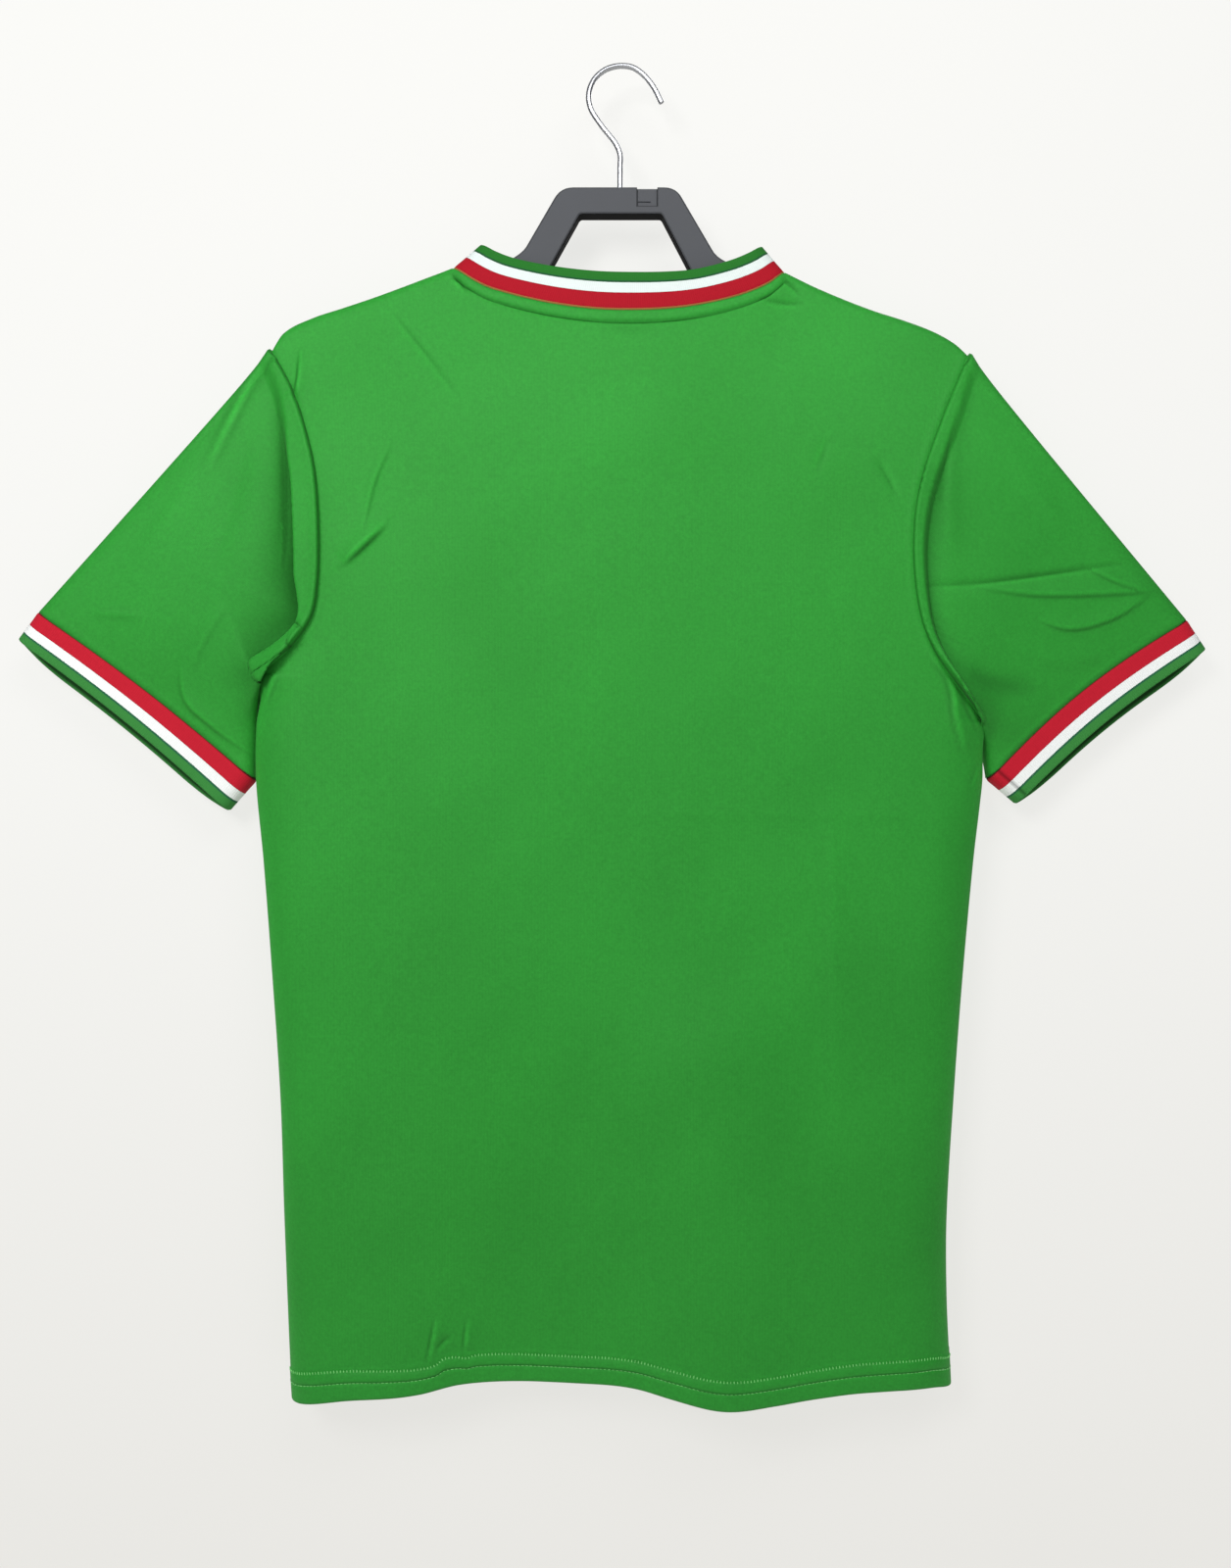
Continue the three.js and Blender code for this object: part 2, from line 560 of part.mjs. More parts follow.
// The collar starts on the neckline of both panels and ends at its free edge
const COLLAR_STATIONS = [0, 0.23, 0.46, 0.73, 1];
function collarGrid() {
  const firstColumn = COLUMNS.findIndex((across) => Math.abs(across - NECK_LEFT_ACROSS) < 1e-9);
  const topRow = ROWS.length - 1;
  const last = NECK_SHARES.length - 1;
  const spots = [
    ...NECK_SHARES.map((share, k) => ({ half: 'back', share, k })),
    ...NECK_SHARES.map((share, k) => ({ half: 'front', share, k })).slice(1, last).reverse(),
  ];
  const seam = spots.map((spot) => panels[spot.half].grid[topRow][firstColumn + spot.k].clone());
  const outs = spots.map((spot) => ({
    out: panels[spot.half].normals[topRow][firstColumn + spot.k].clone(),
    off: new THREE.Vector3(0, 0, 1),
  }));
  seam[0].y = 0;
  seam[last].y = 0;
  const edge = spots.map((spot) => {
    const [low, high] = [COLLAR_EDGE_BACK[0], COLLAR_EDGE_BACK[COLLAR_EDGE_BACK.length - 1]];
    const x = lerp(low.x, high.x, spot.share);
    const across = 2 * spot.share - 1;
    const frontZ = lerp(low.z, high.z, spot.share) - (NECK_FRONT_DROP - 8) * (1 - Math.abs(across) ** 2.4) ** 0.8;
    const z = spot.half === 'back' ? read(COLLAR_EDGE_BACK, 'x', 'z', x) : frontZ;
    const fromFold = Math.min(spot.share, 1 - spot.share) * (high.x - low.x);
    const out = COLLAR_FOLD * quarterRound(fromFold / 8) + COLLAR_LEAN * Math.sin(Math.PI * spot.share);
    return new THREE.Vector3(x, spot.half === 'back' ? -out : out - 1.5 * Math.sin(Math.PI * spot.share), z);
  });
  const grid = COLLAR_STATIONS.map((way) => seam.map((start, j) => start.clone().lerp(edge[j], way)));
  return openGap(grid, outs, RIB_WALL);
}

// Hanger outline: the top bar, the spread legs and the two arms under the shoulders
function hangerOutline() {
  const under = (x, more) => new THREE.Vector2(x, shoulderLine(x) - ARM_BELOW_CLOTH - more);
  const shape = new THREE.Shape();
  const turn = (x, z, cx, cz) => shape.quadraticCurveTo(cx, cz, x, z);
  shape.moveTo(-32, BAR_TOP);
  shape.lineTo(26, BAR_TOP);
  turn(37.5, -85, 34, BAR_TOP);
  shape.lineTo(56.5, -117.5);
  turn(74, -128.6, 60, -124.6);
  shape.lineTo(98, -142.4);
  [120, 140, 159, 178, 194].forEach((x) => shape.lineTo(under(x, 0).x, under(x, 0).y));
  turn(200, -188, 206, -178);
  shape.lineTo(178, -185.5);
  shape.lineTo(140, -174.5);
  shape.lineTo(96, -160);
  turn(50, -145, 64, -154);
  shape.lineTo(25.6, -98);
  turn(23, -95.4, 24.6, -95.4);
  shape.lineTo(-26, -95.4);
  turn(-29, -98, -28, -95.4);
  shape.lineTo(-54, -143);
  turn(-98, -158, -66, -152);
  shape.lineTo(-142, -168);
  shape.lineTo(-180, -176.5);
  shape.lineTo(-198, -180.5);
  turn(-196, -166.5, -206, -172);
  [-178, -160, -142, -123].forEach((x) => shape.lineTo(under(x, 0).x, under(x, 0).y));
  shape.lineTo(-106, -139.6);
  shape.lineTo(-84, -129.6);
  turn(-62, -116, -66, -122.4);
  shape.lineTo(-44, -85);
  turn(-32, BAR_TOP, -40, BAR_TOP);
  return shape;
}

const wasm = await Module();
wasm.setup();

function toManifold(geometry) {
  const bare = geometry.clone();
  bare.deleteAttribute('normal');
  bare.deleteAttribute('uv');
  const merged = mergeVertices(bare, 1e-3);
  return new wasm.Manifold(new wasm.Mesh({
    numProp: 3,
    vertProperties: new Float32Array(merged.getAttribute('position').array),
    triVerts: new Uint32Array(merged.getIndex().array),
  }));
}

function fromManifold(solid) {
  const mesh = solid.getMesh();
  return outward(new THREE.BufferGeometry()
    .setAttribute('position', new THREE.Float32BufferAttribute(mesh.vertProperties, 3))
    .setIndex([...mesh.triVerts]));
}

// The outline is drawn in X and Z, pushed through the thickness, and turned upright
function hangerFrame() {
  const plate = new THREE.ExtrudeGeometry(hangerOutline(), {
    depth: HANGER_THICK - 2 * HANGER_BEVEL,
    bevelThickness: HANGER_BEVEL,
    bevelSize: HANGER_BEVEL,
    bevelOffset: -HANGER_BEVEL,
    bevelSegments: 2,
    curveSegments: 6,
  });
  plate.translate(0, 0, HANGER_BEVEL - HANGER_THICK / 2);
  plate.rotateX(Math.PI / 2);
  const bore = new THREE.CylinderGeometry(BORE_RADIUS, BORE_RADIUS, BORE_DEEP + 4, 16);
  bore.rotateX(Math.PI / 2);
  bore.translate(SHAFT_X, 0, BAR_TOP - BORE_DEEP / 2 + 2);
  const box = (x0, x1, y0, y1, z0, z1) => new THREE.BoxGeometry(x1 - x0, y1 - y0, z1 - z0)
    .translate((x0 + x1) / 2, (y0 + y1) / 2, (z0 + z1) / 2);
  const markerSeat = box(8.7, 21.7, -8, -4.4, -90.3, -70);
  const markerTop = box(8.7, 21.7, -8, 8, BAR_TOP - 1.1, -70);
  const markerSlot = box(9.4, 17.4, -8, -3.7, -88.0, -87.1);
  return fromManifold([bore, markerSeat, markerTop, markerSlot]
    .reduce((solid, cutter) => solid.subtract(toManifold(cutter)), toManifold(plate)));
}

// Wire hook: a straight shank, a bend, and the round crown open toward the right
const HOOK_PATH = [
  { x: -2.1, z: -88.2 },
  { x: -2.1, z: -76.0 },
  { x: -2.1, z: -64.0 },
  { x: -2.1, z: -55.0 },
  { x: -4.6, z: -48.6 },
  { x: -14.2, z: -36.2 },
  { x: -20.8, z: -25.6 },
  { x: -22.2, z: -16.4 },
  { x: -19.0, z: -7.4 },
  { x: -12.3, z: -1.2 },
  { x: -6.0, z: 1.2 },
  { x: 0.0, z: 1.75 },
  { x: 6.0, z: 0.7 },
  { x: 13.0, z: -4.0 },
  { x: 19.5, z: -12.0 },
  { x: 24.5, z: -21.9 },
];
function hangerHook() {
  const ring = new THREE.Shape();
  ring.absarc(0, 0, WIRE_RADIUS, 0, 2 * Math.PI, false);
  const path = new THREE.CatmullRomCurve3(
    HOOK_PATH.map((row) => new THREE.Vector3(row.x, 0, row.z)), false, 'centripetal');
  const wire = new THREE.ExtrudeGeometry(ring, { steps: 52, curveSegments: 6, extrudePath: path });
  return fromManifold(toManifold(wire));
}

const BODY_GREEN = '#3fa447';
const COLLAR_RED = '#cd2737';
const HANGER_GREY = '#67696e';
const STEEL = '#c9ccd1';

const leftSleeve = sleeveGrid('left');
const rightSleeve = sleeveGrid('right');
const leftCuff = cuffGrid('left', leftSleeve);
const rightCuff = cuffGrid('right', rightSleeve);
const collar = collarGrid();
const tube = (grid, wall) => slab(grid, gridNormals(grid, true), () => wall, true);

const jersey = new THREE.Group();
jersey.name = 'football_jersey';
[
  { name: 'back', body: slab(panels.back.grid, panels.back.normals, hemWall, false), color: BODY_GREEN },
  { name: 'front', body: slab(panels.front.grid, panels.front.normals, hemWall, false), color: BODY_GREEN },
  { name: 'sleeve_left', body: tube(leftSleeve, CLOTH), color: BODY_GREEN },
  { name: 'sleeve_right', body: tube(rightSleeve, CLOTH), color: BODY_GREEN },
  { name: 'collar', body: tube(collar, RIB_WALL), color: COLLAR_RED },
  { name: 'cuff_left', body: tube(leftCuff, RIB_WALL), color: COLLAR_RED },
  { name: 'cuff_right', body: tube(rightCuff, RIB_WALL), color: COLLAR_RED },
  { name: 'hanger_frame', body: hangerFrame(), color: HANGER_GREY, rough: 0.5 },
  { name: 'hanger_hook', body: hangerHook(), color: STEEL, rough: 0.2, metal: 1 },
].forEach((piece) => {
  const mesh = new THREE.Mesh(piece.body, new THREE.MeshStandardMaterial({
    name: piece.name,
    color: piece.color,
    roughness: piece.rough ?? 0.85,
    metalness: piece.metal ?? 0,
  }));
  mesh.name = piece.name;
  jersey.add(mesh);
});

export default jersey;
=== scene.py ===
# %% [markdown]
# A football jersey on its hanger, seen from the back. The CAD model gives the frame: where each
# piece is and how large. This lesson dresses it: finer cloth with its creases and seams, knitted
# bands, stitches, moulded plastic and bright wire. The frame comes first, and the dressed pieces
# follow its lines.

# %% Load the frame
import math

import bpy
import numpy as np
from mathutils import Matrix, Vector


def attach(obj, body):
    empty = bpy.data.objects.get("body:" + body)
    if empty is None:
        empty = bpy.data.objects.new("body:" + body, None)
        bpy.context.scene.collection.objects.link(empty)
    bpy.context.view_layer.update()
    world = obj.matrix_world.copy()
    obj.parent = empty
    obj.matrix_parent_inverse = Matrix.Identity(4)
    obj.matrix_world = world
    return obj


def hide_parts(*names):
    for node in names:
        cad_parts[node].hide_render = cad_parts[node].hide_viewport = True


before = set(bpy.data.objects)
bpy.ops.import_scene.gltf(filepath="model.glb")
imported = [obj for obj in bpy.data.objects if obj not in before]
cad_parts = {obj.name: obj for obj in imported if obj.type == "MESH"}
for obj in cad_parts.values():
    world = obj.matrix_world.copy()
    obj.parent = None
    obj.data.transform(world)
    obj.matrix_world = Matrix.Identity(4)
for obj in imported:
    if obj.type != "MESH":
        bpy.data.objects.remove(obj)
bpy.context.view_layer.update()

print("the frame's pieces:", ", ".join(sorted(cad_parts)))

# %% [markdown]
# The camera stands level with the middle of the jersey, a little under a metre away, as for a
# catalogue picture. A long side of 1600 pixels and a focal length of 1377 pixels give the lens.

# %% Camera
SENSOR = 36.0
FOCAL_PIXELS = 1377.0
PICTURE_TALL = 1600.0
CAMERA_PLACE = (-0.005, -0.865, -0.4585)

camera_data = bpy.data.cameras.new("catalogue_camera")
camera_data.sensor_width = SENSOR
camera_data.lens = FOCAL_PIXELS / PICTURE_TALL * SENSOR
camera = bpy.data.objects.new("catalogue_camera", camera_data)
camera.location = CAMERA_PLACE
camera.rotation_euler = (math.radians(90), 0, 0)
bpy.context.scene.collection.objects.link(camera)
bpy.context.scene.camera = camera
print(f"lens {camera_data.lens:.2f} mm")

# %% [markdown]
# Cloth could be simulated, but a jersey that hangs flat on a hanger keeps the shape of its cut.
# So its surface is worked out by rule from a few measured lines: the side seams, the armholes, the
# shoulders, the neckline and the hem. These are the same lines that the CAD solids follow, in
# millimetres, read here on a much finer grid.

# %% Helpers for lines and soft steps
MM = 0.001


def lerp(a, b, t):
    return a + (b - a) * t


def smooth(t):
    t = np.clip(t, 0, 1)
    return t * t * (3 - 2 * t)


def bell(distance, wide):
    return np.exp(-((distance / wide) ** 2))


def quarter_round(share):
    return np.sqrt(1 - (1 - np.clip(share, 0, 1)) ** 2)


def read_line(rows, at):
    """A smooth line through rows of (place, value), read at any places."""
    places, values = np.array(sorted(rows), float).T
    at = np.clip(at, places[0], places[-1])
    last = len(places) - 1
    i = np.clip(np.searchsorted(places, at) - 1, 0, last - 1)
    before, after = np.maximum(i - 1, 0), np.minimum(i + 2, last)
    span = places[i + 1] - places[i]
    t = (at - places[i]) / span
    slope_in = (values[i + 1] - values[before]) / (places[i + 1] - places[before]) * span
    slope_out = (values[after] - values[i]) / (places[after] - places[i]) * span
    return ((2 * t**3 - 3 * t**2 + 1) * values[i] + (t**3 - 2 * t**2 + t) * slope_in
            + (3 * t**2 - 2 * t**3) * values[i + 1] + (t**3 - t**2) * slope_out)


def smooth_path(knots, steps=40):
    """Close points on a smooth curve through the knots."""
    knots = np.array(knots, float)
    ends = np.vstack([2 * knots[0] - knots[1], knots, 2 * knots[-1] - knots[-2]])
    t = np.linspace(0, 1, steps, endpoint=False)[:, None]
    pieces = []
    for a, b, c, d in zip(ends, ends[1:], ends[2:], ends[3:]):
        ab, bc, cd = (np.linalg.norm(q - p) ** 0.5 for p, q in ((a, b), (b, c), (c, d)))
        lead_in = ((b - a) / ab - (c - a) / (ab + bc) + (c - b) / bc) * bc
        lead_out = ((c - b) / bc - (d - b) / (bc + cd) + (d - c) / cd) * bc
        pieces.append(b + lead_in * t + (3 * (c - b) - 2 * lead_in - lead_out) * t**2
                      + (2 * (b - c) + lead_in + lead_out) * t**3)
    return np.vstack([*pieces, knots[-1:]])


def along(path, shares):
    """Points at shares of a path's length."""
    steps = np.linalg.norm(np.diff(path, axis=0), axis=1)
    run = np.r_[0, np.cumsum(steps)] / steps.sum()
    return np.stack([np.interp(shares, run, path[:, k]) for k in range(path.shape[1])], -1)


# %% Measured lines of the jersey, in millimetres
SIDES = {
    "left": {
        "sign": -1,
        "seam_z_x": [
            (-851.1, -211.0), (-829.1, -212.3), (-734.9, -216.1), (-659.5, -218.6),
            (-584.1, -223.6), (-508.8, -229.3), (-455.0, -234.3), (-420.8, -234.0),
            (-404.0, -231.8), (-389.4, -234.9)],
        "armhole_x_z_stand": [
            (-234.9, -389.4, 0.0), (-229.0, -386.6, 0.56), (-219.0, -380.5, 0.85),
            (-205.1, -368.7, 0.98), (-194.9, -353.0, 1.0), (-191.2, -333.0, 1.0),
            (-190.6, -298.6, 1.0), (-193.7, -261.2, 1.0), (-199.9, -235.8, 1.0),
            (-209.1, -209.6, 1.0), (-223.6, -182.4, 1.0)],
        "cuff": {"top": (-376.5, -347.6), "bottom": (-237.4, -455.3), "bow": 3},
        "cuff_edge": {"top": (-389.2, -364.7), "bottom": (-254.2, -474.3), "bow": 3},
    },
    "right": {
        "sign": 1,
        "seam_z_x": [
            (-841.7, 208.6), (-829.1, 208.0), (-785.2, 206.1), (-734.9, 206.1),
            (-659.5, 210.5), (-584.1, 216.1), (-508.8, 223.0), (-471.1, 227.4),
            (-455.4, 229.0), (-438.0, 229.2), (-420.8, 230.6)],
        "armhole_x_z_stand": [
            (230.6, -420.8, 0.0), (225.0, -414.2, 0.55), (214.3, -402.0, 0.85),
            (200.7, -384.2, 0.98), (191.1, -366.0, 1.0), (185.7, -347.8, 1.0),
            (182.0, -310.9, 1.0), (185.5, -273.5, 1.0), (200.9, -229.0, 1.0),
            (212.0, -203.0, 1.0), (219.6, -185.6, 1.0)],
        "cuff": {"top": (362.7, -352.6), "bottom": (235.0, -454.7), "bow": 7},
        "cuff_edge": {"top": (374.8, -371.0), "bottom": (253.0, -469.9), "bow": 5},
    },
}
SHOULDER_LEFT = [
    (-223.6, -182.4), (-216.1, -170.6), (-198.5, -161.4), (-179.6, -155.1), (-160.8, -148.8),
    (-141.9, -141.9), (-109.4, -129.6)]
SHOULDER_RIGHT = [
    (103.4, -132.4), (121.9, -141.4), (140.7, -149.4), (159.6, -156.6), (178.4, -162.6),
    (197.3, -169.8), (211.1, -177.6), (219.6, -185.6)]
NECK_BACK = [
    (-109.4, -129.6), (-97.1, -138.6), (-84.4, -145.3), (-53.2, -154.4), (-22.3, -159.5),
    (8.5, -160.6), (39.4, -158.2), (70.5, -151.0), (92.6, -141.5), (103.4, -132.4)]
NECK_FRONT_DROP = 88
HEM = [
    (-211.0, -851.1), (-203.0, -850.2), (-175.0, -844.6), (-129.0, -841.0), (-103.0, -836.4),
    (-66.0, -835.6), (-28.0, -836.2), (8.0, -838.0), (30.0, -841.8), (63.0, -847.3),
    (95.0, -845.0), (118.0, -842.6), (155.0, -838.6), (194.0, -838.4), (208.6, -841.7)]

# %% How the body stands off the middle plane, as in the CAD solids
BACK = {"toward": -1, "deep": 18.5, "neck_swell": 6.5, "hem_rise": 0}
FRONT = {"toward": 1, "deep": 13, "neck_swell": 0, "hem_rise": 3}
TURN_FROM, TURN_SPAN = 0.8, 0.2
SIDE_TURN = 34
EDGE_BAND = 26
ROLL_TALL = 7
ROLL_DEEP = 7.9
CHEST_DROP = 120
HALF_GAP = 0.03
STAND_UNIT = 20
ARMHOLES = {
    name: smooth_path([(x, stand * STAND_UNIT, z) for x, z, stand in side["armhole_x_z_stand"]], 60)
    for name, side in SIDES.items()}
NECK_LEFT, NECK_RIGHT = NECK_BACK[0], NECK_BACK[-1]


def body_edge(name, climb):
    """A side of the body: climb 0 to 1 is the side seam, 1 to 2 the armhole."""
    seam = SIDES[name]["seam_z_x"]
    z_side = lerp(seam[0][0], seam[-1][0], np.clip(climb, 0, 1))
    spot = along(ARMHOLES[name], np.clip(climb - 1, 0, 1))
    low = climb <= 1
    return {"x": np.where(low, read_line(seam, z_side), spot[..., 0])[:, None],
            "z": np.where(low, z_side, spot[..., 2])[:, None],
            "stand": np.where(low, 0, np.clip(spot[..., 1] / STAND_UNIT, 0, 1))[:, None]}


def both_edges(climb):
    return [body_edge(name, np.atleast_1d(np.asarray(climb, float))) for name in SIDES]


def shoulder_line(x):
    level = lerp(NECK_LEFT[1], NECK_RIGHT[1], (x - NECK_LEFT[0]) / (NECK_RIGHT[0] - NECK_LEFT[0]))
    return np.where(x < NECK_LEFT[0], read_line(SHOULDER_LEFT, x),
                    np.where(x > NECK_RIGHT[0], read_line(SHOULDER_RIGHT, x), level))


def neck_dip(drop, across):
    """How far the front neckline lies below its two points, which are at across -1 and 1."""
    return drop * (1 - np.abs(across) ** 2.4) ** 0.8


def top_line(face, x):
    in_neck = (x > NECK_LEFT[0]) & (x < NECK_RIGHT[0])
    if face is BACK:
        return np.where(in_neck, read_line(NECK_BACK, x), shoulder_line(x))
    across = np.clip(2 * (x - NECK_LEFT[0]) / (NECK_RIGHT[0] - NECK_LEFT[0]) - 1, -1, 1)
    return np.where(in_neck, shoulder_line(x) - neck_dip(NECK_FRONT_DROP, across), shoulder_line(x))


def turning(across):
    """0 on the flat of a panel and 1 at its edge, where the cloth has turned round the side."""
    return np.clip((np.abs(across) - TURN_FROM) / TURN_SPAN, 0, 1)


def panel_across(edges, across):
    """The x of each place across a panel, whose edges are at -1 and 1."""
    share = turning(across)

    def inset(edge, part):
        last = np.arccos(edge["stand"])
        turn = SIDE_TURN * (np.sin(last) - np.sin(last * part))
        return turn + EDGE_BAND * (1 - part) * (1 - np.sin(last))

    left, right = edges
    middle = lerp(left["x"] + inset(left, 0.0), right["x"] - inset(right, 0.0),
                  (across + TURN_FROM) / (2 * TURN_FROM))
    return np.where(across < -TURN_FROM, left["x"] + inset(left, share),
                    np.where(across > TURN_FROM, right["x"] - inset(right, share), middle))


print("armhole lengths:", {name: round(float(np.linalg.norm(np.diff(path, axis=0), axis=1).sum()))
                           for name, path in ARMHOLES.items()})

# %% [markdown]
# The broad folds are in the CAD solids too: soft ridges and troughs, each along a line. The fine
# creases come only here. Each is placed on the body as a line of points with its own
# rise and a width on either side of it, so that it can be steep on one side and soft on the
# other. That reads as a crease of real cloth, where an even ripple reads as a computer's.

# %% Broad folds and listed creases
FOLDS_BACK = [
    # from x, z, to x, z, width, lift
    (66, -860, 58, -640, 52, 11), (-72, -860, -40, -690, 46, -6), (-5, -860, 5, -760, 30, -3),
    (-150, -860, -140, -740, 34, 4), (158, -860, 150, -700, 32, 3), (-120, -330, -60, -600, 60, 2)]
FOLDS_FRONT = [
    (40, -860, 30, -660, 50, 4), (-90, -860, -70, -700, 44, -3), (130, -860, 120, -720, 36, -2.5)]


def crease(rise, left, right, *path, dark=None, light=0.6):
    """One crease along a path of (x, z): its rise, its width on either side, how much painted shade
    it gets beside the line and how much of that shows as painted light on its crest."""
    steep = min(left, right)
    if dark is None:
        dark = min(abs(rise) / 4.0, 0.75) * min(2.2 / steep, 1.0) ** 2
    return {"rise": rise, "left": left, "right": right, "path": path, "dark": dark, "light": light}


CREASES_BACK = {
    "pinch_left": crease(3.4, 8, 2.3, (-176, -320), (-164, -309), (-149.5, -295), dark=0.85),
    "line_over_pinch": crease(1.1, 3.5, 1.7, (-164, -301), (-157, -270), (-146, -243), dark=0.36),
    "yoke_left": crease(-1.1, 1.6, 4, (-146, -160), (-128, -182), (-104, -214), dark=0.34),
    "shoulder_tip_left": crease(2.0, 5, 1.6, (-204, -184), (-205, -203), (-208, -219), dark=0.6),
    "neck_point_left": crease(-1.2, 1.6, 1.8, (-110, -134), (-104, -140), (-99, -147), dark=0.6),
    "neck_point_right": crease(-1.2, 1.6, 2.4, (100, -137), (106, -142), (112, -148), dark=0.5),
    "under_neck_right": crease(-1.4, 1.6, 4, (88, -151.5), (100, -153.5), (114, -153.5), dark=0.5),
    "under_neck_middle": crease(-0.9, 4, 9, (-12, -172), (4, -174), (20, -172)),
    "back_right_high": crease(-1.0, 1.8, 3.4, (129, -242), (125, -252), (121, -264), dark=0.25),
    "back_right_low": crease(-1.1, 3.4, 1.8, (158, -254), (165, -266), (171, -279), dark=0.3),
    "packing_line": crease(0.9, 9, 5, (130, -452), (131, -560), (132, -676)),
    "packing_cross": crease(0.35, 4, 3, (2, -476), (100, -478), (221, -477)),
    "low_arc": crease(0.6, 8, 12, (-47, -752), (-5, -761), (39, -752)),
    "armpit_right_long": crease(3.2, 6, 3.0, (193, -378), (203.3, -390.5), (207, -403), (208.2, -415),
                                (212.5, -431), (215, -440), dark=0.42, light=1.0),
    "armpit_right_short": crease(2.6, 5, 2.8, (211, -396), (218, -411), (227, -427), dark=0.42,
                                 light=1.0),
    "armpit_right_nick": crease(-0.8, 1.4, 1.8, (217, -461), (221, -452), (224, -445)),
    "armpit_left_pull": crease(2.2, 2.2, 3.6, (-217, -387), (-221.5, -397), (-228, -411), dark=0.3,
                               light=1.2),
    "hem_pleat_left": crease(2.4, 7, 2.0, (-117, -793), (-119, -806), (-122.5, -822), dark=0.55,
                             light=0.9),
    "hem_pleat_right": crease(2.0, 7, 2.0, (-97.5, -795), (-98.5, -806), (-99.5, -815), dark=0.5,
                              light=0.9),
    "hem_pleat_nick": crease(-1.0, 1.6, 2.2, (-118, -812), (-114, -808), (-109, -804), dark=0.45),
    "hem_dent_right": crease(-0.6, 5, 7, (140, -800), (148, -809), (150, -822)),
}
CREASES_FRONT = {
    "packing_line": crease(0.8, 6, 6, (0, -250), (1, -450), (-1, -700)),
    "packing_cross": crease(0.6, 4, 4, (-215, -470), (0, -474), (215, -470)),
    "chest_pull_left": crease(1.0, 7, 3, (-178, -330), (-140, -300), (-110, -240)),
    "chest_pull_right": crease(1.1, 3, 7, (176, -350), (146, -318), (120, -262)),
    "armpit_left": crease(1.4, 4, 3, (-226, -392), (-205, -402), (-180, -420)),
    "armpit_right": crease(1.4, 3, 4, (220, -424), (204, -436), (182, -452)),
}
PATH_STEPS = 14
END_FADE = 0.7
FOLD_ROUND = 1.5


def fold_lift(folds, x, z):
    total = np.zeros_like(x)
    for x0, z0, x1, z1, wide, lift in folds:
        dx, dz = x1 - x0, z1 - z0
        t = np.clip(((x - x0) * dx + (z - z0) * dz) / (dx * dx + dz * dz), 0, 1)
        total += lift * bell(np.hypot(x - x0 - t * dx, z - z0 - t * dz), wide)
    return total


def nearest_on(path, x, z):
    """For each point: how far the path is, on which leg, at what share of it, and on which side."""
    spots = np.stack([x.ravel(), z.ravel()], -1)
    a, leg = path[:-1], np.diff(path, axis=0)
    t = np.clip(((spots[:, None] - a) * leg).sum(2) / (leg**2).sum(1), 0, 1)
    off = spots[:, None] - a - t[..., None] * leg
    apart = np.hypot(off[..., 0], off[..., 1])
    best = apart.argmin(1)
    pick = np.arange(len(spots))
    side = leg[best, 0] * off[pick, best, 1] - leg[best, 1] * off[pick, best, 0]
    return apart[pick, best], best, t[pick, best], side


def crease_light(fold, apart, wide):
    """The painted shade beside a fold's line and the painted light on its crest; a trough gets painted
    light on its wide side.
    """
    steep = min(fold["left"], fold["right"])
    if fold["rise"] < 0:
        return bell(apart, 0.7 * steep), (wide > steep) * bell(apart - 1.6 * steep, 0.8 * steep)
    return (wide == steep) * bell(apart - 0.9 * steep, 0.6 * steep), bell(apart, 0.55 * steep)


def crease_lift(creases, x, z):
    """Height and painted shade of the creases at each point; left and right are as seen along the path.
    Shade is positive as painted shade and negative as painted light on a crest."""
    total, shade = np.zeros_like(x), np.zeros_like(x)
    for fold in creases.values():
        path = smooth_path(fold["path"], PATH_STEPS)
        reach = 3 * max(fold["left"], fold["right"])
        low, high = path.min(0) - reach, path.max(0) + reach
        near = (x > low[0]) & (x < high[0]) & (z > low[1]) & (z < high[1])
        if not near.any():
            continue
        apart, leg, t, side = nearest_on(path, x[near], z[near])
        wide = np.where(side > 0, fold["left"], fold["right"])
        share = (leg + t) / (len(path) - 1)
        fade = np.sin(np.pi * np.clip(share, 0.02, 0.98)) ** END_FADE
        total[near] += fold["rise"] * fade * np.exp(-((apart / wide) ** FOLD_ROUND))
        dark, light = crease_light(fold, apart, wide)
        line = (dark - fold["light"] * light) * fade * fold["dark"]
        shade[near] = np.where(np.abs(line) > np.abs(shade[near]), line, shade[near])
    return total, shade


def soft_wander(x, z, seed, long_from, long_to, count=36):
    """Slow unevenness of about one unit: a sum of long waves in many directions."""
    draw = np.random.default_rng(seed)
    total = np.zeros_like(x)
    for _ in range(count):
        wave = draw.uniform(long_from, long_to)
        turn, shift = draw.uniform(0, 2 * np.pi, 2)
        total += np.sin(2 * np.pi * (x * np.cos(turn) + z * np.sin(turn)) / wave + shift)
    return total / math.sqrt(count)


print(len(CREASES_BACK), "creases on the back,", len(CREASES_FRONT), "on the front")

# %% [markdown]
# The hem is a fold of cloth, sewn with two rows: a line of small upright stitches along its top
# and a straight row lower down. Between the rows the cloth puffs out, and each row pulls a groove.
# The armholes and the neckline have the same kind of groove, because thread pulls the seam in.
# These reliefs are part of the surface, so that light finds them from every side.

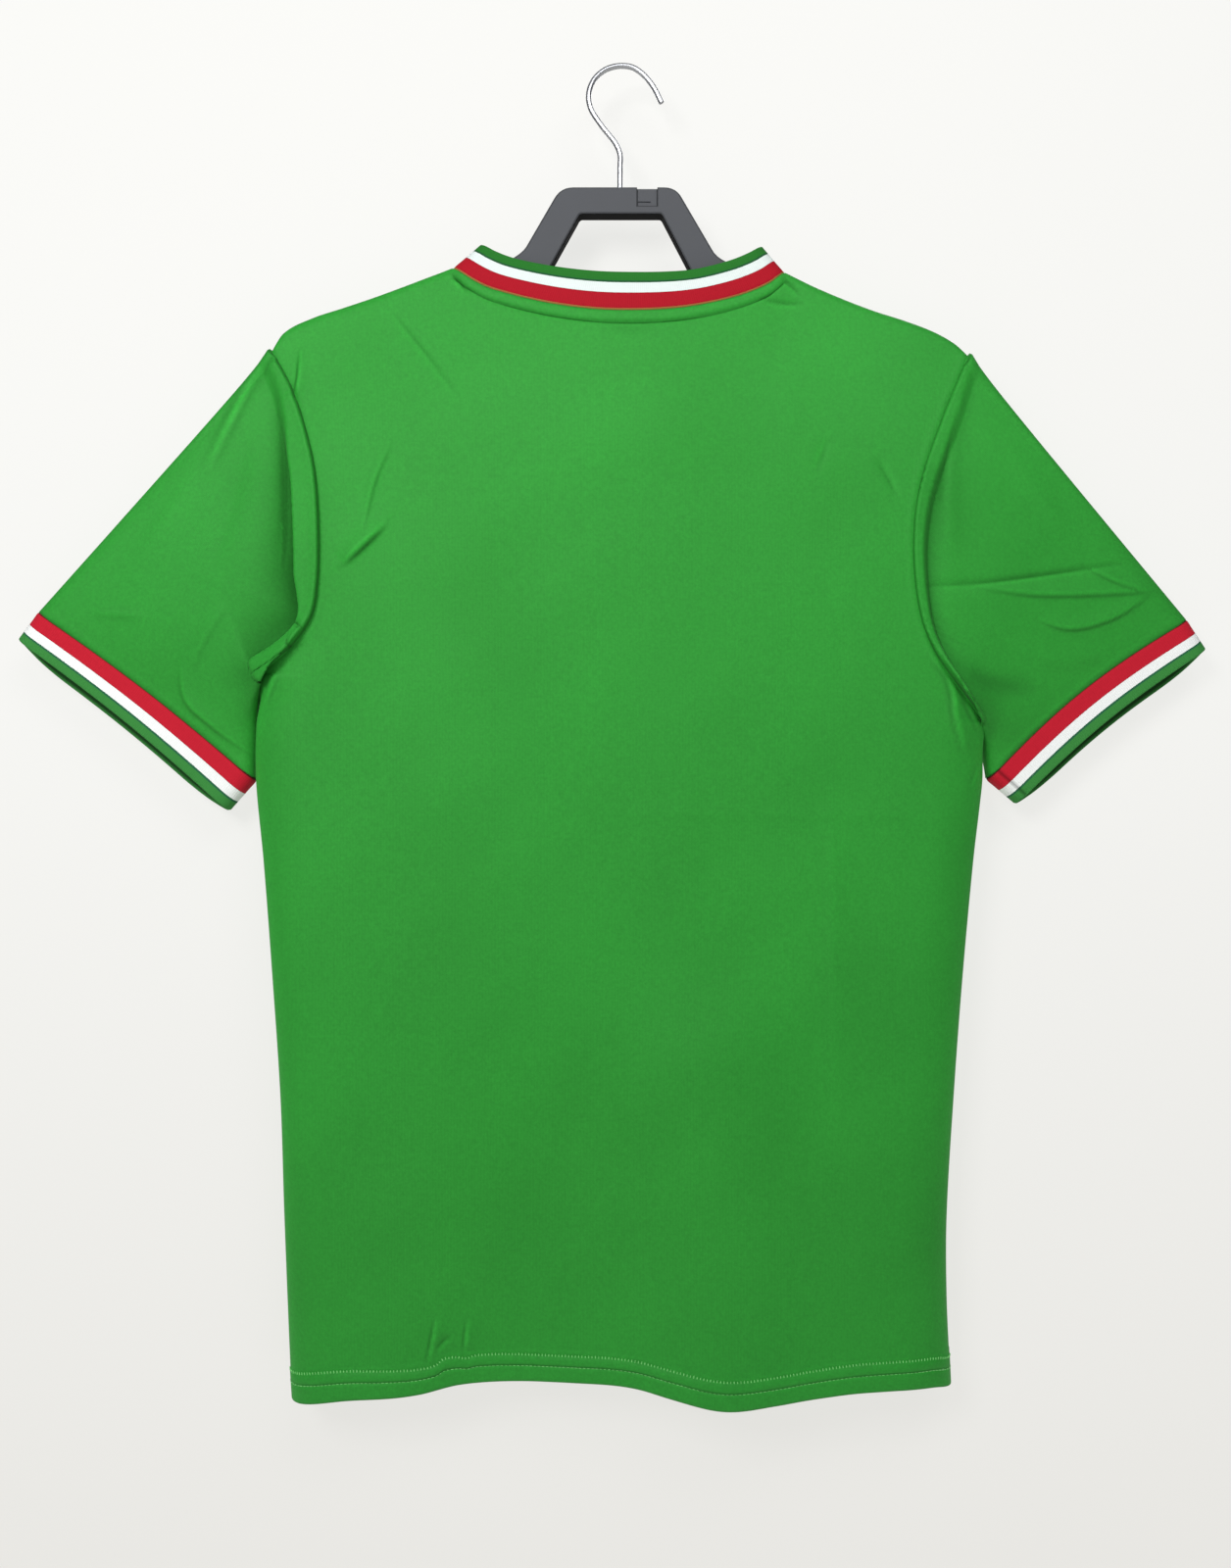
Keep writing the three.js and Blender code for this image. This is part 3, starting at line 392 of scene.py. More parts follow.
# %% Seam and hem relief
STITCH_ROW = [
    # x, height of the upright stitches above the hem's edge
    (-211, 18.6), (-190, 18.2), (-150, 16.4), (-126, 14.8), (-117, 15.0), (-113, 17.6),
    (-104, 16.8), (-98, 15.4), (-93, 16.6), (-50, 15.8), (0, 16.2), (60, 17.4), (100, 16.6),
    (209, 17.6)]
STRAIGHT_SHARE = 0.64
DOUBLE_CLOTH, HEM_PUFF = 0.7, 0.7
EDGE_ROUND, STRAIGHT_GROOVE, UPRIGHT_GROOVE = -1.3, -1.0, -0.5
SEAM_GROOVE, SEAM_BANK = -0.3, 0.3
NECK_LIP_TALL, NECK_LIP_LIFT = 7.6, 1.3
SIDE_PAINTED_LIGHT = 0.45
SLOW_WAVE, SMALL_WAVE, UNEVEN_TONE = 0.22, 0.035, 0.045


def hem_relief(x, above, turned):
    rows = read_line(STITCH_ROW, x)
    straight = rows * STRAIGHT_SHARE
    double_cloth = DOUBLE_CLOTH * (1 - smooth((above - rows) / 1.6))
    edge = EDGE_ROUND * bell(above, 1.4)
    groove = STRAIGHT_GROOVE * bell(above - straight, 0.9)
    puff = HEM_PUFF * bell(above - lerp(straight, rows, 0.55), 2.0)
    upright = UPRIGHT_GROOVE * bell(above - rows - 0.6, 0.9)
    return (double_cloth + edge + groove + puff + upright) * np.cos(turned) ** 0.5


def armhole_away(x, z):
    """Distance of each point to the nearer armhole seam."""
    best = np.full(x.shape, 1e3)
    for name, path in ARMHOLES.items():
        seam = path[::4][:, [0, 2]]
        near = (np.abs(x - seam[:, 0].mean()) < 70) & (z > seam[:, 1].min() - 30)
        best[near] = np.minimum(best[near], nearest_on(seam, x[near], z[near])[0])
    return best


def panel_grid(face, across, climb, creases, folds, seed):
    """The middle surface of a body panel, with every fold, crease and groove, and its painted shade."""
    across = across[None, :]
    edges, tips, hems = both_edges(climb), both_edges(2.0), both_edges(0.0)
    x = panel_across(edges, across)
    x_top = panel_across(tips, across)
    x_hem = panel_across(hems, across)

    def line_of(pair, at):
        share = (at - pair[0]["x"]) / (pair[1]["x"] - pair[0]["x"])
        return lerp(pair[0]["z"], pair[1]["z"], share)

    climb = climb[:, None]
    top_rise = (top_line(face, x_top) - line_of(tips, x_top)) * np.clip(climb - 1, 0, 1) ** 1.6
    hem_shape = read_line(HEM, x_hem) - line_of(hems, x_hem) + face["hem_rise"]
    z = line_of(edges, x) + top_rise + hem_shape * (1 - smooth(climb / 0.4))
    below = shoulder_line(x) - z
    stand = np.where(across < 0, edges[0]["stand"], edges[1]["stand"])
    share = turning(across)
    turned = share * np.arccos(stand)
    depth = lerp(ROLL_DEEP, face["deep"], smooth(below / CHEST_DROP))
    neck_mid = np.maximum(1 - ((x_top + 3) / 112) ** 2, 0)
    from_top = top_line(face, x_top) - z
    depth = depth + face["neck_swell"] * neck_mid * bell(from_top, 70)
    depth = depth + fold_lift(folds, x, z)

    flat = 1 - smooth((share - 0.75) / 0.25) * (1 - stand)
    seam_away = armhole_away(x, z)
    fine, shade = crease_lift(creases, x, z)
    fine *= smooth(seam_away / 4)
    above = z - z[:1]
    fine += SLOW_WAVE * soft_wander(x, z, seed, 55, 140) * smooth(below / 60)
    fine += SMALL_WAVE * soft_wander(x, z, seed + 1, 14, 34)
    fine += hem_relief(x, above, turned)
    fine += SEAM_GROOVE * bell(seam_away, 0.6) + SEAM_BANK * bell(seam_away - 3.0, 1.8)
    hem_row = read_line(STITCH_ROW, x) * STRAIGHT_SHARE
    lip = smooth(neck_mid * 5) * (face is BACK)
    lip_shape = smooth(from_top / 1.2) * (1 - smooth((from_top - NECK_LIP_TALL + 1.1) / 1.2))
    fine += lip * (NECK_LIP_LIFT * lip_shape - 0.5 * bell(from_top - NECK_LIP_TALL - 0.9, 1.0))
    fine += -0.7 * bell(from_top, 0.9) * smooth(neck_mid * 8)
    out = (depth + fine * flat) * quarter_round(below / ROLL_TALL) * np.cos(turned)
    points = np.stack([x, face["toward"] * (HALF_GAP + out), z], -1)
    # Painted shade along the armhole seam, at the hem's edge, over the straight hem row, under the neck lip
    # and along the collar seam.
    shade = shade + np.maximum.reduce([
        0.45 * bell(seam_away, 0.4), 0.65 * bell(above, 1.1), 0.5 * bell(above - hem_row - 1.1, 0.6),
        lip * 0.7 * bell(from_top - NECK_LIP_TALL - 0.4, 0.7), lip * 0.7 * bell(from_top, 0.8)])
    shade += UNEVEN_TONE * soft_wander(x, z, seed + 2, 50, 190)
    # Painted light on the turned sides of the body and along the straight hem row.
    side_painted_light = SIDE_PAINTED_LIGHT * smooth((turned - 0.7) / 0.7) * (1 - stand)
    shade -= 0.3 * bell(above - hem_row + 0.3, 0.6) + side_painted_light
    return points, x, z, turned, np.minimum(shade, 1)


# %% [markdown]
# A grid can be close where the cloth has detail and wide where it is plain. Here the columns are
# close at the two shoulders and sides, and the rows are close at the hem and from the armpit up.

# %% Rows and columns of the body's grid
def spread(low, high, step):
    return np.linspace(low, high, max(int(round(abs(high - low) / step)), 1), endpoint=False)


def across_at(x_top):
    tips = both_edges(2.0)
    low, high = tips[0]["x"][0, 0] + EDGE_BAND, tips[1]["x"][0, 0] - EDGE_BAND
    return -TURN_FROM + 2 * TURN_FROM * (x_top - low) / (high - low)


COLUMN_MM = 1.6 / 391.2
neck_from, neck_to = across_at(NECK_LEFT[0]), across_at(NECK_RIGHT[0])
side_shares = 1 - (1 - np.linspace(0, 1, 29)) ** 1.25
neck_shares = np.linspace(0, 1, 69)
neck_shares = lerp(neck_shares, 0.5 - 0.5 * np.cos(np.pi * neck_shares), 0.6)
columns = np.r_[-TURN_FROM - TURN_SPAN * side_shares[:0:-1], spread(-TURN_FROM, neck_from, 1.5 * COLUMN_MM),
                lerp(neck_from, neck_to, neck_shares)[:-1], spread(neck_to, TURN_FROM, 2.0 * COLUMN_MM),
                TURN_FROM + TURN_SPAN * side_shares]
if len(columns) % 2 == 0:
    columns = np.r_[columns[:30], (columns[29] + columns[30]) / 2, columns[30:]]
neck_column_from = int(np.argmin(np.abs(columns - neck_from)))
neck_column_to = int(np.argmin(np.abs(columns - neck_to)))

SIDE_MM, ARM_MM = 1 / 440, 1 / 262
HEM_ZONE, UNDERARM_ZONE, SHOULDER_ZONE = 62, 44, 15
roll = ROLL_TALL * (1 - np.cos(np.linspace(0, np.pi / 2, 9))) * ARM_MM
hem_rows = np.r_[0, 0.35, 0.9, 1.6, np.arange(2.4, 24, 0.8), np.arange(24.5, HEM_ZONE, 1.5)] * SIDE_MM
side_rows = np.r_[spread(HEM_ZONE * SIDE_MM, 1 - UNDERARM_ZONE * SIDE_MM, 3.6 * SIDE_MM),
                  spread(1 - UNDERARM_ZONE * SIDE_MM, 1, 1.8 * SIDE_MM)]
arm_rows = np.r_[spread(0, 1 - SHOULDER_ZONE * ARM_MM, 1.6 * ARM_MM),
                 spread(1 - SHOULDER_ZONE * ARM_MM, 1 - roll[-1], 0.9 * ARM_MM), 1 - roll[::-1]]
rows = np.r_[hem_rows, side_rows, 1 + arm_rows]
if len(rows) % 2 == 0:
    rows = np.r_[rows[:60], (rows[59] + rows[60]) / 2, rows[60:]]
armpit_row = int(np.argmin(np.abs(rows - 1)))
print(f"body grid: {len(rows)} rows by {len(columns)} columns")

# %% [markdown]
# A sheet of cloth becomes a thin closed shell: the outer face follows the full grid, and the
# inner face, which is hardly seen, follows every second point. A Solidify modifier could do it,
# but it would give both faces the same number of triangles.

# %% Shells of cloth
def grid_normals(grid, closed):
    if closed:
        side = np.roll(grid, -1, 1) - np.roll(grid, 1, 1)
    else:
        side = np.empty_like(grid)
        side[:, 1:-1] = grid[:, 2:] - grid[:, :-2]
        side[:, 0], side[:, -1] = grid[:, 1] - grid[:, 0], grid[:, -1] - grid[:, -2]
    rise = np.empty_like(grid)
    rise[1:-1] = grid[2:] - grid[:-2]
    rise[0], rise[-1] = grid[1] - grid[0], grid[-1] - grid[-2]
    normal = np.cross(side, rise)
    return normal / np.maximum(np.linalg.norm(normal, axis=2, keepdims=True), 1e-9)


def inside_out(points, faces):
    """True where a closed mesh has its faces turned inwards, by the sign of its volume."""
    a, b, c = (points[[face[k] for face in faces]] for k in (0, 1, 2))
    return np.einsum("ij,ij->i", a, np.cross(b, c)).sum() < 0


def add_shade(made, values):
    layer = made.data.attributes.new("Shade", "FLOAT", "POINT")
    layer.data.foreach_set("value", values.astype(np.float32))


def new_object(name, points, faces, corner_uv, crisp=60):
    mesh = bpy.data.meshes.new(name)
    mesh.from_pydata((np.asarray(points) * MM).tolist(), [], faces)
    if corner_uv is not None:
        layer = mesh.uv_layers.new(name="UVMap")
        layer.data.foreach_set("uv", np.asarray(corner_uv, np.float32).ravel())
    mesh.polygons.foreach_set("use_smooth", np.ones(len(mesh.polygons), bool))
    mesh.set_sharp_from_angle(angle=math.radians(crisp))
    mesh.update()
    made = bpy.data.objects.new(name, mesh)
    bpy.context.scene.collection.objects.link(made)
    return made


def cloth_shell(name, middle, normals, outer, inner, closed, flat_u, flat_v, shade):
    """outer and inner are how far each face lies off the middle surface, in mm."""
    tall, wide = middle.shape[:2]
    face_out = middle + normals * np.broadcast_to(outer, (tall, wide))[..., None]
    face_in = (middle - normals * np.broadcast_to(inner, (tall, wide))[..., None])[::2, ::2]
    points = np.vstack([face_out.reshape(-1, 3), face_in.reshape(-1, 3)])
    wide_in = face_in.shape[1]
    first_in = tall * wide
    spans = wide if closed else wide - 1
    faces, corners = [], []

    def point_at(i, j, inside):
        if inside:
            return first_in + (i // 2) * wide_in + (j // 2) % wide_in
        return i * wide + j % wide

    def add(spots):
        faces.append([point_at(*spot) for spot in spots])
        corners.extend((flat_u[i, j % wide] + (flat_u_turn if j == wide else 0), flat_v[i, j % wide])
                       for i, j, _ in spots)

    flat_u_turn = float(flat_u[0, -1] + (flat_u[0, -1] - flat_u[0, -2])) if closed else 0.0
    for i in range(tall - 1):
        for j in range(spans):
            add([(i, j, 0), (i, j + 1, 0), (i + 1, j + 1, 0), (i + 1, j, 0)])
    for i in range(0, tall - 1, 2):
        for j in range(0, spans, 2):
            add([(i, j, 1), (i + 2, j, 1), (i + 2, j + 2, 1), (i, j + 2, 1)])
    top = tall - 1
    for j in range(0, spans, 2):
        add([(0, j + 2, 0), (0, j + 1, 0), (0, j, 0), (0, j, 1), (0, j + 2, 1)])
        add([(top, j, 0), (top, j + 1, 0), (top, j + 2, 0), (top, j + 2, 1), (top, j, 1)])
    if not closed:
        end = wide - 1
        for i in range(0, tall - 1, 2):
            add([(i, 0, 0), (i + 1, 0, 0), (i + 2, 0, 0), (i + 2, 0, 1), (i, 0, 1)])
            add([(i + 2, end, 0), (i + 1, end, 0), (i, end, 0), (i, end, 1), (i + 2, end, 1)])
    if inside_out(points, faces):
        flipped, start, flat = [], 0, []
        for face in faces:
            flipped.append(face[::-1])
            flat.extend(corners[start:start + len(face)][::-1])
            start += len(face)
        faces, corners = flipped, flat
    made = new_object(name, points, faces, np.array(corners) * MM)
    add_shade(made, np.r_[shade.ravel(), np.zeros(face_in.size // 3)])
    return made, face_out


# %% The two body panels
CLOTH_OUT, CLOTH_IN = 0.8, 0.25
HEM_OUT, HEM_IN = 1.2, 0.9
HEM_TALL, HEM_STEP = 19, 2
HEM_EDGE_ROUND, HEM_EDGE_THIN = 1.3, 0.25


def body_panel(name, face, creases, folds, seed):
    grid, x, z, turned, shade = panel_grid(face, columns, rows, creases, folds, seed)
    normals = grid_normals(grid, False)
    normals *= np.where(normals[..., 1:2] * face["toward"] < 0, -1, 1)
    low = slice(0, armpit_row + 1)
    for column, sign in ((0, -1), (-1, 1)):
        edge = normals[low, column]
        edge[:, 1] = 0
        edge /= np.linalg.norm(edge, axis=1, keepdims=True)
        edge *= np.where(edge[:, :1] * sign < 0, -1, 1)
    for part in (slice(0, neck_column_from + 1), slice(neck_column_to, None)):
        edge = normals[-1, part]
        edge[:, 1] = 0
        edge /= np.linalg.norm(edge, axis=1, keepdims=True)
        edge *= np.where(edge[:, 2:] < 0, -1, 1)
    above = z - z[:1]
    in_hem = 1 - smooth((above - HEM_TALL) / HEM_STEP)
    rounding = HEM_EDGE_THIN + (1 - HEM_EDGE_THIN) * quarter_round(above / HEM_EDGE_ROUND)
    outer = lerp(CLOTH_OUT, HEM_OUT * rounding, in_hem)
    inner = lerp(CLOTH_IN, HEM_IN * rounding, in_hem)
    shell, face_out = cloth_shell(name, grid, normals, outer, inner, False, x, z, shade)
    print(f"{name}: {len(shell.data.polygons)} faces")
    return {"object": shell, "grid": grid, "normals": normals, "out": face_out, "above": above}


back = body_panel("back_panel", BACK, CREASES_BACK, FOLDS_BACK, 11)
front = body_panel("front_panel", FRONT, CREASES_FRONT, FOLDS_FRONT, 23)

# %% [markdown]
# A sleeve is a tube. It starts on the ring of the armhole, down the back and up the front, and
# each point of that ring leads to a point of the cuff line. Beside the seam the sleeve's cap
# swells into a rounded lip, and behind the lip the cloth sinks into a valley, as it does when
# a set-in sleeve hangs flat. The creases of each sleeve are added on top.

# %% Sleeve tables
CAP = {
    # lines of (share of the armhole from the shoulder down, millimetres); dark is painted shade, from 0 to
    # 1
    "left": dict(lip=[(0, 6), (0.1, 9), (0.24, 13.5), (0.33, 15.4), (0.62, 15.4), (0.69, 11.7),
                      (0.77, 7.0), (0.85, 7.4), (0.965, 7.8), (1, 0.4)],
                 soft=[(0, 5), (0.2, 4), (0.31, 1.2), (0.8, 0.9), (1, 0.8)],
                 valley=[(0, 0), (0.1, -1.4), (0.3, -6), (0.6, -9), (0.8, -7), (0.95, -3), (1, 0)],
                 dark=[(0, 0), (0.1, 0.05), (0.2, 0.3), (0.35, 0.6), (0.6, 0.72), (0.8, 0.66),
                       (0.95, 0.5), (1, 0.42)],
                 dark_wide=[(0, 5), (0.3, 10), (0.6, 18), (0.8, 24), (1, 14)], lift=3.4, wide=14),
    "right": dict(lip=[(0, 5), (0.15, 9), (0.25, 9.6), (0.38, 8.4), (0.5, 6.9), (0.62, 6),
                       (0.72, 4.5), (0.82, 2.4), (1, 1.5)],
                  soft=[(0, 4), (0.2, 3.6), (0.5, 3.0), (0.7, 1.8), (1, 0.8)],
                  valley=[(0, 0), (0.12, -1.2), (0.3, -3.0), (0.65, -3.4), (0.8, -1.5), (1, 0)],
                  dark=[(0, 0), (0.12, 0.2), (0.3, 0.42), (0.5, 0.7), (0.68, 0.74), (0.78, 0.45),
                        (0.88, 0.3), (1, 0.15)],
                  dark_wide=[(0, 4), (0.3, 8), (0.5, 6.5), (0.7, 5.5), (0.85, 12), (1, 12)],
                  lift=2.2, wide=10),
}
LIP_ROUND = 1.3
FRONT_CAP = 0.5
SLEEVE_PLUMP = 3
UNDERARM_SWELL = -2.5
UNDERARM_TUCK = 6
SLEEVE_BACKSET = 8
SLEEVE_HALF = 8
EDGE_FOLD = 11
CUFF_OVERHANG = 6.7
SEAM_GAP = 0.3
LAP_ROOM = 1.2
TAB_WIDE = 2.6
TAB_UNDER = 1.45
CREASES_SLEEVE = {
    "left": {
        "tuck_high": crease(-2.6, 1.3, 1.3, (-206, -357), (-203.5, -359), (-200.5, -361.5)),
        "tuck_low": crease(-2.4, 1.3, 1.3, (-209.6, -368), (-209, -372), (-207.6, -376)),
        "valley_line": crease(-1.2, 1.6, 4, (-215, -222), (-213.6, -260), (-213.4, -300), (-215.6, -330)),
        "fold_down": crease(1.6, 6, 2.0, (-281, -382), (-279, -404), (-263, -420), (-234, -442), dark=0.3,
                            light=0.9),
        "fold_faint": crease(1.0, 3, 5, (-251, -344), (-264, -364), (-278, -388)),
        "fold_high": crease(0.8, 3, 3, (-338, -349), (-322, -350), (-304, -352)),
        "cap_long": crease(1.2, 12, 9, (-262, -240), (-290, -290), (-318, -330)),
        "cap_light": crease(1.0, 4.2, 4.2, (-225, -188), (-239, -208), (-251, -231), (-264, -258),
                            dark=0.3, light=1.6),
        "band_high": crease(-0.6, 3, 3, (-219, -205), (-217, -240), (-215, -290), (-215, -330), dark=0.25,
                            light=0),
        "cap_inner": crease(-1.2, 9, 14, (-236, -222), (-246, -280), (-262, -330)),
    },
    "right": {
        "fold_long": crease(-2.2, 1.4, 5, (189, -334), (226, -331.5), (256, -327.5), (287, -322.5),
                            (322, -317), dark=0.5),
        "fold_under": crease(1.8, 5, 1.9, (222, -334), (262, -338), (316, -336), (340, -334), dark=0.5),
        "fold_cross": crease(1.2, 3.6, 1.9, (294, -319), (312, -328), (334, -335), dark=0.42),
        "fold_low": crease(1.9, 6, 1.7, (262, -353), (275, -358), (288, -359), (312, -352), (327, -343),
                           (337, -335), dark=0.5),
        "fold_faint": crease(0.8, 9, 5, (246, -372), (280, -380), (312, -372)),
        "underarm_join": crease(-1.3, 1.0, 1.0, (224, -443), (228.3, -446.1), (238, -454), (244, -459)),
        "underarm": crease(-2.2, 9, 9, (216, -388), (238, -396), (266, -399), dark=0.36),
        "shoulder_run": crease(1.4, 6, 7, (216, -210), (208, -240), (205, -285), (206, -320)),
        "shoulder_run_inner": crease(-1.0, 3, 2.4, (211, -222), (203, -252), (198, -286)),
        "cap_long": crease(0.9, 9, 12, (240, -236), (262, -272), (282, -306)),
    },
}
SLEEVE_STATIONS = np.array([0, 0.018, 0.04, 0.07, 0.11, 0.16, 0.24, 0.36, 0.52, 0.7, 0.86, 1])
SEAM_HOLD = (1 - np.arange(len(SLEEVE_STATIONS)) / len(SLEEVE_STATIONS)) ** 3


# %% Rings, cuff lines and seams
def unit(v):
    return v / np.maximum(np.linalg.norm(v, axis=-1, keepdims=True), 1e-9)


def armhole_ring(name):
    column = 0 if name == "left" else -1
    inner_column = 1 if name == "left" else -2
    halves = []
    for panel, toward in ((back, -1), (front, 1)):
        at = panel["grid"][armpit_row:, column][::-1].copy()
        out = panel["normals"][armpit_row:, column][::-1].copy()
        run = np.gradient(at, axis=0)
        off = unit(np.cross(-run, out))
        inward = panel["grid"][armpit_row:, inner_column][::-1] - at
        off *= -np.where((off * inward).sum(1, keepdims=True) < 0, -1, 1)
        share = 2 - rows[armpit_row:][::-1]
        halves.append({"at": at, "out": out, "off": off, "share": share,
                       "toward": np.full(len(at), toward)})
    halves[0]["at"][[0, -1], 1] = 0
    ring = {key: np.concatenate([halves[0][key], halves[1][key][::-1][1:-1]]) for key in halves[0]}
    return ring


def cuff_points(line, toward, share, overhang):
    top, bottom = np.array(line["top"], float), np.array(line["bottom"], float)
    span = bottom - top
    long = np.hypot(*span)
    rise = np.array([-span[1], span[0]]) / long
    lift = (line["bow"] if rise[1] > 0 else -line["bow"]) * np.sin(np.pi * share)
    from_fold = np.minimum(share, 1 - share) * long
    deep = SLEEVE_HALF * quarter_round(from_fold / EDGE_FOLD)
    below = np.where(toward > 0, overhang * quarter_round(from_fold / 40), 0)
    x = top[0] + span[0] * share + rise[0] * lift - abs(rise[0]) * np.sign(rise[0] * rise[1]) * below
    z = top[1] + span[1] * share + rise[1] * lift - abs(rise[1]) * below
    return np.stack([x, SLEEVE_BACKSET + toward * deep, z], -1)


def seam_place(name, x, z):
    """Distance of each point to its armhole seam, and the share of the seam that is nearest."""
    path = ARMHOLES[name][::8]
    run = np.r_[0, np.cumsum(np.linalg.norm(np.diff(path, axis=0), axis=1))]
    apart, leg, t, _ = nearest_on(path[:, [0, 2]], x, z)
    share = 1 - lerp(run[leg], run[leg + 1], t) / run[-1]
    return apart.reshape(x.shape), share.reshape(x.shape)


def cap_relief(cap, away, share):
    """A rounded lip beside the seam, the fold at its far side and the valley behind the fold."""
    lip, soft, depth = (read_line(cap[key], share) for key in ("lip", "soft", "valley"))
    ends = smooth(share / 0.05) * (1 - smooth((share - 0.965) / 0.035))
    rise = cap["lift"] * quarter_round(away / LIP_ROUND) * ends
    drop = smooth((away - lip + soft) / (2 * soft))
    valley = depth * np.exp(-((np.maximum(away - lip, 0) / cap["wide"]) ** 1.4))
    return rise * (1 - drop) + valley * drop


def cap_shade(cap, away, share):
    """Painted shade for the fold behind the lip, 0 to 1, as little light reaches it there."""
    lip, soft, deep, reach = (read_line(cap[key], share) for key in ("lip", "soft", "dark", "dark_wide"))
    behind = np.exp(-((np.maximum(away - lip, 0) / reach) ** 1.6))
    return deep * behind * smooth((away - lip + soft) / (2 * soft))


def fan(share):
    return share - 0.17 * np.sin(np.pi * share**1.5)


def open_gap(grid, ring, wall, hold):
    """Moves the first ring off its seam, so that two walls lie side by side."""
    normals = grid_normals(grid, True)
    middle = len(ring["at"]) // 4
    facing = np.sign((normals[0, middle] * ring["out"][middle]).sum())
    lead = unit(grid[max(2, int(0.018 * len(grid)))] - grid[0])
    agree = np.clip((normals[0] * ring["out"]).sum(1) * facing, -1, 1)
    bend = np.sqrt(1 - agree**2)
    gap = 0.5 * SEAM_GAP + wall * (0.25 * bend + 0.15 * bend**2)
    drive = np.maximum(np.maximum(-agree, -(lead * ring["off"]).sum(1)), 0)
    lapped = np.minimum(2.2 * drive**0.5, 1)
    move = lead * gap[:, None] + ring["out"] * (lapped * (wall + LAP_ROOM))[:, None]
    return grid + move[None] * hold[:, None, None]


def ring_run(grid):
    """Distance around a tube, from its first column, measured on its middle ring."""
    ring = grid[len(grid) // 2]
    steps = np.linalg.norm(np.roll(ring, -1, 0) - ring, axis=1)
    return np.r_[0, np.cumsum(steps)[:-1]]


# %% The two sleeves
SLEEVE_OUT, SLEEVE_IN = 0.8, 0.25
WAVE_SHIFT = 300
way = np.r_[spread(0, 0.02, 0.0022), spread(0.02, 0.14, 0.0042), spread(0.14, 1, 0.0078), 1]
way = way if len(way) % 2 else np.r_[way[:50], (way[49] + way[50]) / 2, way[50:]]


def sleeve(name, seed):
    side, cap, ring = SIDES[name], CAP[name], armhole_ring(name)
    share, toward = ring["share"], ring["toward"]
    end = cuff_points(side["cuff"], toward, fan(share), 0)
    w = way[:, None]
    grid = lerp(ring["at"][None], end[None], w[..., None])
    away = w * np.linalg.norm(ring["at"] - end, axis=1)[None]
    middle = np.sin(np.pi * share)
    off_seam, seam_share = seam_place(name, grid[..., 0], grid[..., 2])
    cap_reach = (1 - smooth((w - 0.5) / 0.4)) * np.where(toward < 0, 1, FRONT_CAP)
    grid[..., 1] += toward * cap_relief(cap, off_seam, seam_share) * cap_reach
    tuck = smooth((share - 0.7) / 0.14) * (1 - smooth((share - 0.955) / 0.045))
    grid[..., 1] += toward * UNDERARM_TUCK * tuck * smooth(w / 0.05) * (1 - smooth((w - 0.1) / 0.5))
    grid[..., 1] += toward * SLEEVE_PLUMP * middle * np.sin(np.pi * w)
    underarm = smooth((share - 0.78) / 0.17) * smooth(w / 0.07) * (1 - smooth(w / 0.95))
    grid[..., 0] += side["sign"] * UNDERARM_SWELL * underarm
    grid[..., 1] += SLEEVE_BACKSET * smooth((share - 0.85) / 0.15) * (smooth(w / 0.25) - w)
    hold = np.interp(way, SLEEVE_STATIONS, SEAM_HOLD)
    grid = open_gap(grid, ring, SLEEVE_OUT * 2, hold)
    x, z = grid[..., 0], grid[..., 2]
    facing = smooth(np.sin(np.pi * fan(share)) * 3)[None] * np.ones_like(w)
    # The creases give height, and also painted shade beside them and painted light on their crests.
    fine, shade = (np.where(toward < 0, part, 0) for part in crease_lift(CREASES_SLEEVE[name], x, z))
    apart = z + WAVE_SHIFT * toward
    fine = fine + SLOW_WAVE * soft_wander(x, apart, seed, 45, 110)
    fine = fine + SMALL_WAVE * soft_wander(x, apart, seed + 1, 14, 34)
    groove = -0.25 * bell(off_seam, 0.6) * smooth(share / 0.06)
    to_cuff = (1 - w) * np.linalg.norm(ring["at"] - end, axis=1)[None]
    cuff_seam = -0.8 * bell(to_cuff, 1.3) + 0.35 * bell(to_cuff - 3, 1.8)
    grid[..., 1] += toward * (fine * facing + groove * facing + cuff_seam * facing)
    shade = shade + UNEVEN_TONE * soft_wander(x, apart, seed + 2, 50, 150)
    # Painted shade along the armhole seam, along the cuff seam and in the fold behind the cap's lip.
    shade = shade + np.maximum.reduce([0.5 * bell(off_seam, 0.35), 0.6 * bell(to_cuff, 0.7),
                                       cap_shade(cap, off_seam, seam_share)])
    shade = np.minimum(shade, 1)
    tab = [ring["at"] + ring["off"] * reach - ring["out"] * TAB_UNDER for reach in (-TAB_WIDE, 0.15)]
    grid = np.concatenate([tab, grid])
    away, shade = (np.concatenate([part[:1], part[:1], part]) for part in (away, shade))
    normals = grid_normals(grid, True)
    facing_out = np.sign((normals[len(way) // 2] * np.stack([0 * toward, toward, 0 * toward], -1)).sum())
    normals *= facing_out
    run = ring_run(grid)[None] + 0 * away
    shell, face_out = cloth_shell(f"sleeve_{name}_cloth", grid, normals, SLEEVE_OUT, SLEEVE_IN, True,
                                  run, away, shade)
    print(f"sleeve {name}: {len(shell.data.polygons)} faces, {run.max():.0f} mm round")
    return {"object": shell, "grid": grid, "ring": ring, "out": face_out}


sleeves = {name: sleeve(name, seed) for name, seed in (("left", 31), ("right", 47))}

# %% [markdown]
# The collar and the cuffs are one kind of band: a flat rib knit, folded double, with a red, a
# white and a green stripe. The fold makes the free edge round. So the band is not a sheet with
# a wall but a loop: out along the outer face, round the fold, and back along the inner face.

# %% Knitted bands
BAND_HALF = 0.95
BAND_ROWS = 19
ROUND_ROWS = 5


